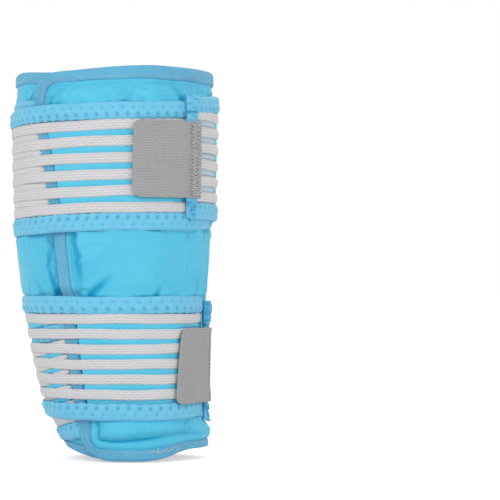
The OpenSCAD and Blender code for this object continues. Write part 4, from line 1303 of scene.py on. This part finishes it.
def tab_body(s):
    fine = np.array([0.1, 0.3, 0.6])
    rows = [np.linspace(-TAB_HALF, TAB_HALF, 190), TAB_HALF - fine, fine - TAB_HALF]
    z = np.unique(np.concatenate(rows))[:, None]
    left, right, k = tab_tip(s, z), HOOK_END[s] + TAB_FOOT, TAB_DEGREE[s]
    a = mix(left, right, np.concatenate([[0, 0.006, 0.015], np.linspace(0.03, 0.985, 42), [0.994, 1.0]]))
    from_side = np.minimum(np.minimum((a - left) * k, (right - a) * k), TAB_HALF - np.abs(z))
    round_off = 0.5 * corner(from_side / 0.7, 1.0)
    sewn = ramp((a - HOOK_END[s]) / 1.2)
    ribs = 0.05 * np.cos(2 * PI * z / TAB_RIB) * np.clip(from_side / 1.2, 0, 1) * (1 - sewn)
    pucker = sewn * 0.16 * (np.sin(z * 2.9 + 0.8 * a) + np.sin(z * 4.7 - 1.7 * a))
    # The line where the tab is sewn is drawn in
    off = tab_off(s, a) - 0.25 * bell((a - HOOK_END[s] - 0.6) / 0.8)
    off = off + TAB_SWING[s] * sewn * (ramp((-10 - z) / 12) + 0.7 * ramp((z - 16) / 8))
    on_foot = (a[:-1, :-1] + a[1:, 1:]) / 2 > HOOK_END[s] + 0.2
    outer, inner = off + TAB_THICK - round_off + ribs + pucker, off + 0.05 + 0.3 * round_off
    outer, inner = around(a, TAB_Z[s] + z, outer), around(a, TAB_Z[s] + z, inner)
    shell = Shell().plate(outer, inner, pairs(a * k, z + 25), on_foot.astype(int))
    piece(shell, "tab_" + NAMES[s], on_tab[s], "hook_tape", TAB, FOOT, nodes=own(s, "tab", "tab_foot"))


def tab_sewing(s):
    """Dense zigzag sewing on the foot."""
    dark, pale, hold = Shell(), Shell(), riding(NAMES[s] + "_hook_strap")
    rows = ((dark, 2.3, 0.9, 5.4, 1.2), (pale, 2.3, 1.4, 6.2, 1.64), (dark, 2.9, 4.4, 9.4, 1.44),
            (pale, 2.7, 5.2, 9.8, 1.96))
    for n, (shell, pitch, low, high, first) in enumerate(rows):
        k, zig, dip = zigzag(int((TAB_HEIGHT - 3) / pitch * 2), 3)
        a = HOOK_END[s] + mix(low, high, zig) + 0.3 * np.sin(k * 2.1 + n)
        z = TAB_Z[s] - TAB_HALF + first + k * pitch / 2
        kept = z < TAB_Z[s] + TAB_HALF - 0.9
        line = around(a, z, foot_off(a) + TAB_THICK + 0.2 - 0.35 * dip ** 3)
        shell.thread(line[kept], TAB_THREAD, outward(a[kept]))
    piece(dark, f"tab_{NAMES[s]}_sewing_dark", hold, "thread", GREY)
    piece(pale, f"tab_{NAMES[s]}_sewing_pale", hold, "thread", WHITE, nodes=own(s, "tab_thread"))


def tab_hooks(s):
    """Field of small hooks beneath the free part."""
    field, k = Shell(), TAB_DEGREE[s]
    z = np.linspace(2.6 - TAB_HALF, TAB_HALF - 2.6, 24)[:, None]
    a = mix(tab_tip(s, z) + 2.6 / k, HOOK_END[s] - 5, np.linspace(0, 1, 22))
    z, under = TAB_Z[s] + z + 0 * a, tab_off(s, a)
    field.plate(around(a, z, under - 0.05), around(a, z, under - 0.3), pairs(a * k, z))
    turn, up = np.linspace(0, 1.25 * PI, 6), np.tile([0, 0, 1.0], (6, 1))
    drop = np.minimum(0.5, 0.42 * turn / PI * 1.7) - 0.22 * np.clip(turn - PI * 0.75, 0, 1)
    bent = 0.35 * (1 - np.cos(turn)) / k
    for row, z in enumerate(np.arange(3.4 - TAB_HALF, TAB_HALF - 3.2, 1.7)):
        odd = row % 2
        for a in np.arange(tab_tip(s, z) + 3.4 / k + odd * 0.7, HOOK_END[s] - 5.6, 1.45):
            level = tab_off(s, a) - 0.28 - drop
            field.thread(around(a + bent * (1 if odd else -1), TAB_Z[s] + z, level), HOOK_WIRE, up, sides=4)
    piece(field, f"tab_{NAMES[s]}_hook_field", riding(NAMES[s] + "_hook_tab"), "hook_field", HOOKS,
          nodes=own(s, "tab_hooks"))


for s in (0, 1):
    end_fold(s)
    tab_body(s)
    tab_sewing(s)
    tab_hooks(s)

bpy.context.view_layer.update()
